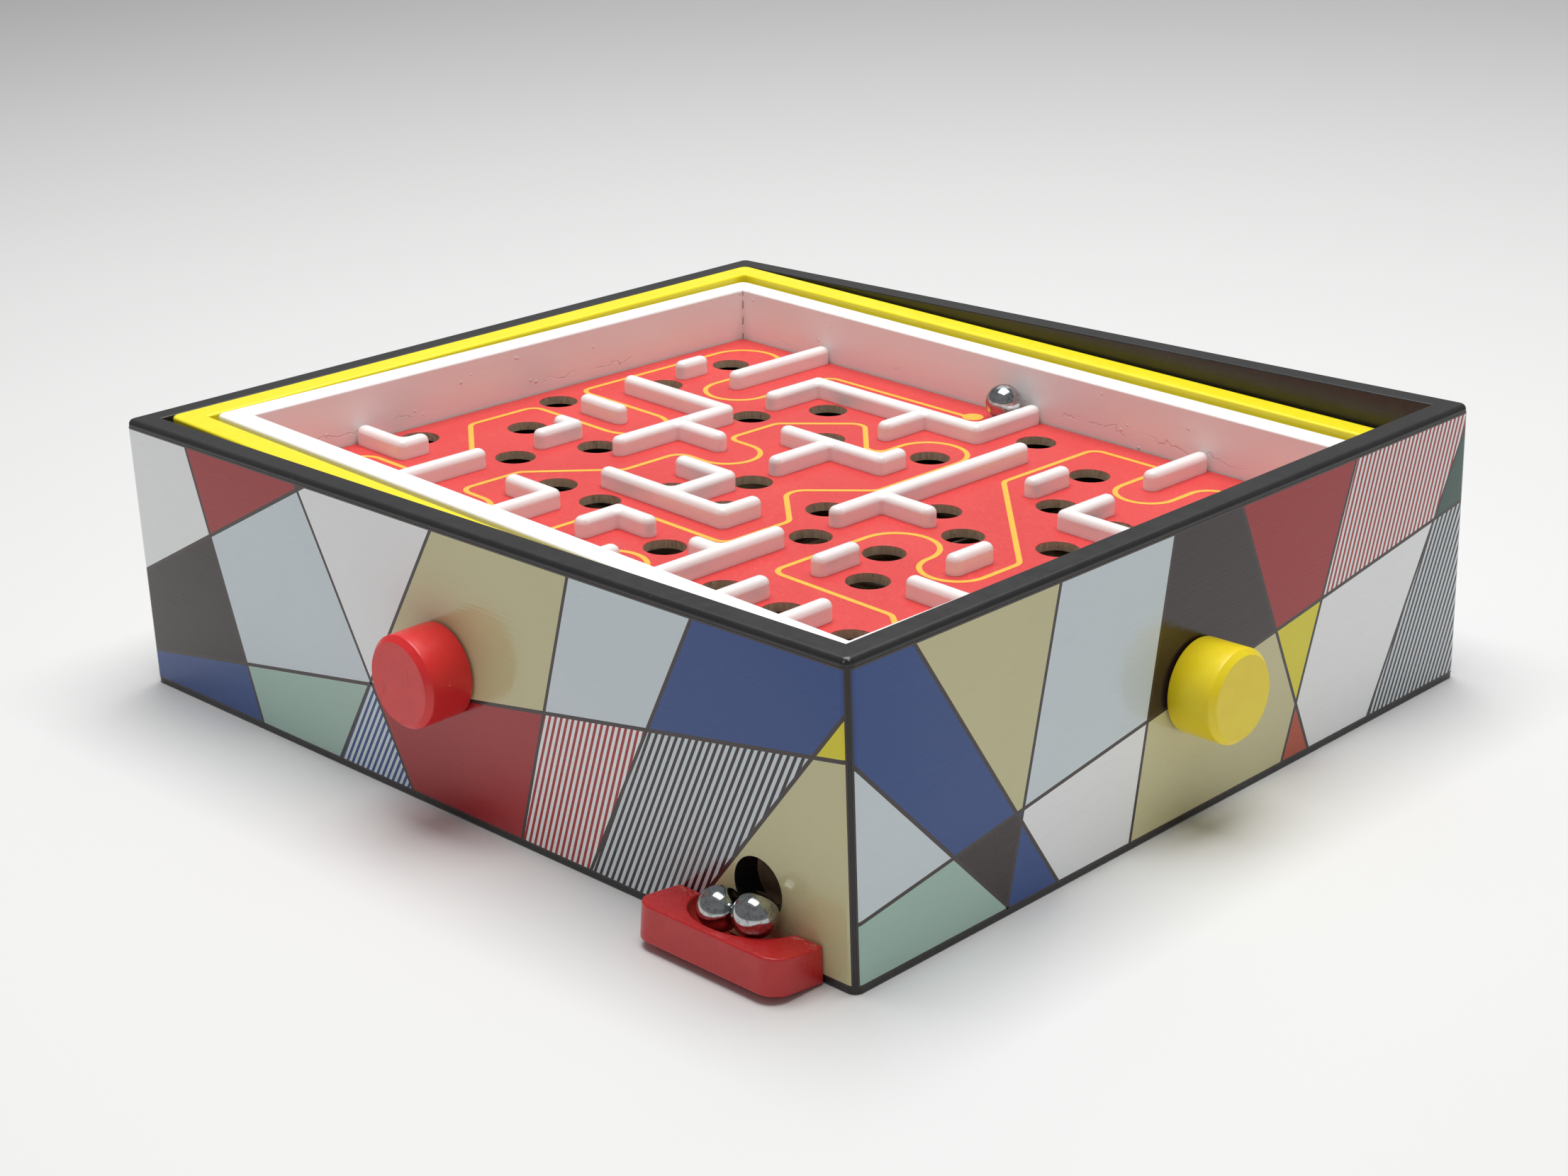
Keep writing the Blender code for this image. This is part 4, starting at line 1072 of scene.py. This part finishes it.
def make_tray():
    """A block with round front corners, leaning back to the box, with a dished scoop."""
    width, depth, height = TRAY_SIZE
    tilt = Matrix.Rotation(math.radians(TRAY_TILT), 4, "X")
    heel = Matrix.Translation((TRAY_X, -143.3, 0.3)) @ tilt
    bm = block((-width / 2, -depth, 0), (width / 2, TRAY_BURY, height))
    fronts = [edge for edge in bm.edges if is_upright(edge) and edge.verts[0].co.y < 0]
    bevel(bm, fronts, 6.5, 14)
    bm.transform(heel)
    piece = stand_for("ball_tray", "ball_tray_block", to_mesh(bm, "ball_tray"), ["tray"], BOX)
    subtract(piece, block((90, -143.3, -5), (170, -130, 30)), BOX)
    scoop = bmesh.new()
    shape = Matrix.Translation(SCOOP_PLACE) @ tilt @ Matrix.Diagonal((*SCOOP_SEMI, 1))
    bmesh.ops.create_uvsphere(scoop, u_segments=96, v_segments=48, radius=1.0, matrix=shape)
    subtract(piece, scoop, BOX)
    remesh = piece.modifiers.new("even", "REMESH")
    remesh.mode = "VOXEL"
    remesh.voxel_size = 0.36
    smooth = piece.modifiers.new("soften", "SMOOTH")
    smooth.factor, smooth.iterations = 0.5, 8
    bake(piece)
    piece.data.shade_smooth()


def make_balls():
    for node in ("board_ball", "tray_ball_left", "tray_ball_right"):
        low, high = node_box(node, BOX)
        bm = bmesh.new()
        bmesh.ops.create_icosphere(bm, subdivisions=5, radius=BALL_R)
        turn = Matrix.Rotation(math.radians(37 * len(node)), 4, "Y")
        place = BOX @ Matrix.Translation((low + high) / 2) @ turn
        stand_for(node, f"{node}_steel", to_mesh(bm, node), ["ball"], place)


# Cords, springs and eyes -----------------------------------------------------------------

CORD_R, WINDING_R, CORD_TURNS, CORD_PITCH = 0.5, 3.3, 3, 1.5
OUTER_CORD_Y, INNER_CORD_X, EYE_Z = -24.0, 16.0, 33.0
SPRING_TURNS, SPRING_PITCH = 7, 1.3


def smooth_path(points, step):
    """Points a given step apart on a Catmull-Rom curve through the given points."""
    path = [Vector(point) for point in points]
    ends = [2 * path[0] - path[1], *path, 2 * path[-1] - path[-2]]
    result = []
    for a, b, c, d in zip(ends, ends[1:], ends[2:], ends[3:]):
        count = max(1, round((c - b).length / step))
        for number in range(count):
            t = number / count
            result.append(0.5 * (2 * b + (c - a) * t + (2 * a - 5 * b + 4 * c - d) * t * t
                                 + (3 * b - a - 3 * c + d) * t ** 3))
    return result + [path[-1]]


def cord_side(eye, anchor, anchor_z):
    """One half of a cord from its anchor down through its eye, for the positive side."""
    return [(anchor, anchor_z), ((anchor + eye) / 2, (anchor_z + EYE_Z + 2) / 2),
            (eye, EYE_Z + 2), (eye - 0.1, EYE_Z), (eye - 0.5, EYE_Z - 1.1),
            (eye - 1.3, EYE_Z - 1.7), (eye - 2.6, EYE_Z - 1.9)]


def make_cord(node, to_space, shaft_z, eye, anchor, low_z, high_z, bodies):
    """A drive cord: its middle run rides the cord's body, and its runs from the eyes up to the frame are
    cut into parts, one for each pair of the bodies in turn; these parts are put on no body."""
    run, rise = eye - 2.6, shaft_z - WINDING_R - (EYE_Z - 1.9)
    slope = math.atan2(rise, run)
    width = CORD_TURNS * CORD_PITCH
    first, last = slope - math.pi / 2, math.tau * CORD_TURNS - math.pi / 2 - slope
    middle = [to_space(-across, z, 0) for across, z in cord_side(eye, anchor, low_z)[3:]]
    for step in range(24 * CORD_TURNS + 1):
        part = step / (24 * CORD_TURNS)
        angle = first + (last - first) * part
        middle.append(to_space(WINDING_R * math.cos(angle), shaft_z + WINDING_R * math.sin(angle),
                               width * (part - 0.5)))
    middle += [to_space(across, z, 0) for across, z in reversed(cord_side(eye, anchor, high_z)[3:])]
    mesh = to_mesh(tube(smooth_path(middle, 0.5), CORD_R, 12, 3, 1.6), node)
    stand_for(node, f"{node}_run", mesh, ["cord"], BOX)
    for side, sign, anchor_z in (("low", -1, low_z), ("high", 1, high_z)):
        points = [to_space(sign * across, z, 0) for across, z in cord_side(eye, anchor, anchor_z)[:4]]
        run = list(reversed(smooth_path(points, 0.5)))
        joints = list(zip(bodies, bodies[1:]))
        for number, (lower, upper) in enumerate(joints):
            first, last = (round((len(run) - 1) * share / len(joints)) for share in (number, number + 1))
            part = run[first:last + 1]
            bm = tube(part, CORD_R, 12, 3, 1.6)
            bm.transform(BOX)
            piece = add_object(f"{node}_{side}_end_{number + 1}", to_mesh(bm, node))
            piece.data.materials.append(CORD_METRES)
            piece.data.shade_smooth()
            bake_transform(piece)
            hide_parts(node)


def eye_points(to_space, sign, wall, eye):
    """A screw eye: a shank out of the panel and a level ring round the cord."""
    points = [to_space(sign * (wall + 3.9), EYE_Z, 0), to_space(sign * (wall - 0.5), EYE_Z, 0)]
    for step in range(29):
        angle = math.radians(8 + 344 * step / 28)
        points.append(to_space(sign * (eye + 3.0 * math.cos(angle)), EYE_Z, 3.0 * math.sin(angle)))
    return points


def spring_points(x, y, top):
    points = [(x, y, top)]
    for step in range(24 * SPRING_TURNS + 1):
        angle = math.tau * step / 24
        drop = SPRING_PITCH * step / 24
        points.append((x + 1.9 * math.cos(angle), y + 1.9 * math.sin(angle), top - drop))
    return points


def make_cords():
    inner_w, inner_d = BOX_W - 2 * PANEL, BOX_D - 2 * PANEL
    outer_eye, outer_anchor = inner_w / 2 - 5.4, 309.8 / 2 - OUTER_RAIL / 2
    inner_eye, inner_anchor = inner_d / 2 - 8.4, 243.2 / 2 - WHITE_RAIL / 2
    hang, spring = 0.8, SPRING_TURNS * SPRING_PITCH + 0.7
    outer_low, inner_low = 67.5, 62.5
    drop = outer_anchor * math.sin(OUTER_TILT)

    def to_outer(across, z, along):
        return (across, OUTER_CORD_Y + along, z)

    def to_inner(across, z, along):
        return (INNER_CORD_X + along, across, z)

    make_cord("outer_drive_cord", to_outer, FRONT_SHAFT_Z, outer_eye, outer_anchor,
              outer_low + drop - hang, outer_low - drop - hang - spring, ("box", "outer_frame"))
    back_drop = -inner_anchor * math.sin(INNER_TILT)
    front_z = inner_low + back_drop - INNER_CORD_X * math.sin(OUTER_TILT) - hang
    make_cord("inner_drive_cord", to_inner, SIDE_SHAFT_Z, inner_eye, inner_anchor,
              front_z, front_z - 2 * back_drop - spring, ("box", "outer_frame", "inner_frame"))
    for node, x, y, top, space in (
            ("outer_cord_spring", outer_anchor, OUTER_CORD_Y, outer_low - PIVOT_Z - hang, OUTER),
            ("inner_cord_spring", INNER_CORD_X, inner_anchor, inner_low - PIVOT_Z - hang, INNER)):
        mesh = to_mesh(tube(spring_points(x, y, top), 0.35, 10), node)
        stand_for(node, f"{node}_coil", mesh, ["steel"], space)
    for sides, to_space, wall, eye in ((("left", "right"), to_outer, inner_w / 2, outer_eye),
                                       (("front", "back"), to_inner, inner_d / 2, inner_eye)):
        for side, sign in zip(sides, (-1, 1)):
            mesh = to_mesh(tube(eye_points(to_space, sign, wall, eye), 0.7, 14), "eye")
            stand_for(f"{side}_guide_eye", f"{side}_eye_wire", mesh, ["steel"], BOX)


# Stage -----------------------------------------------------------------------------------

OVERHEAD, BACK, WORLD = 27.5, 9.5, 0.23     # watts, watts, strength of the sky


def make_floor():
    bm = bmesh.new()
    bmesh.ops.create_grid(bm, x_segments=1, y_segments=1, size=12.0)
    floor = add_object("floor", to_mesh(bm, "floor"))
    floor.data.materials.append(floor_surface())


def add_light(name, place, target, size, energy):
    light = bpy.data.lights.new(name, "AREA")
    light.shape = "RECTANGLE"
    light.size, light.size_y = size
    light.energy = energy
    lamp = add_object(name, light)
    lamp.location = place
    lamp.rotation_euler = (Vector(target) - Vector(place)).to_track_quat("-Z", "Y").to_euler()


def make_lights():
    add_light("overhead_softbox", (0.0, 0.10, 1.6), (0, 0, 0), (1.2, 1.2), OVERHEAD)
    add_light("back_fill", (-1.2, 1.4, 2.0), (-1.2, 1.3, 0), (2.0, 2.0), BACK)
    world = bpy.data.worlds.new("studio")
    bpy.context.scene.world = world
    world.use_nodes = True
    background = world.node_tree.nodes["Background"]
    background.inputs["Color"].default_value = (0.97, 0.98, 1.0, 1)
    background.inputs["Strength"].default_value = WORLD


def make_camera():
    place = Vector((0.57924, -0.56769, 0.33274))
    azimuth, elevation, roll = (math.radians(angle) for angle in (45.715, 20.313, -2.041))
    right = Vector((math.cos(azimuth), math.sin(azimuth), 0))
    back = Vector((math.sin(azimuth) * math.cos(elevation),
                   -math.cos(azimuth) * math.cos(elevation), math.sin(elevation)))
    up = back.cross(right)
    across = math.cos(roll) * right + math.sin(roll) * up
    over = math.cos(roll) * up - math.sin(roll) * right
    data = bpy.data.cameras.new("camera")
    data.sensor_width = 36.0
    data.lens = 59.89
    data.clip_start = 0.01
    camera = add_object("camera", data)
    rotation = Matrix((across, over, back)).transposed().to_4x4()
    camera.matrix_world = Matrix.Translation(place) @ rotation
    bpy.context.scene.camera = camera


def finish_base():
    """The hidden base and the return floor keep their CAD shapes."""
    for node in ("base_panel", "ball_return_floor"):
        piece = frame["nodes"][node]
        piece.data.materials.clear()
        piece.data.materials.append(HARDBOARD_METRES)


def in_metres(name, maker):
    """A copy of a surface for a piece whose own space is in metres."""
    material = maker()
    material.name = name
    for node in material.node_tree.nodes:
        if node.bl_idname == "ShaderNodeMapping":
            node.inputs["Scale"].default_value = [value / MM for value in
                                                  node.inputs["Scale"].default_value]
    return material


CORD_METRES = in_metres("waxed_cord_end", cord_fibre)
HARDBOARD_METRES = in_metres("hardboard_base", hardboard)

make_panels()
make_prints()
make_frames()
board_top = make_board()
make_walls(board_top)
make_route(board_top)
make_knob("front", FRONT_AXIS, 143.0, 139.4, "red_knob")
make_knob("side", SIDE_AXIS, 165.0, 161.4, "yellow_knob")
make_pins()
make_tray()
make_balls()
make_cords()
finish_base()
make_floor()
make_lights()
make_camera()
bpy.context.scene.view_settings.view_transform = "Standard"
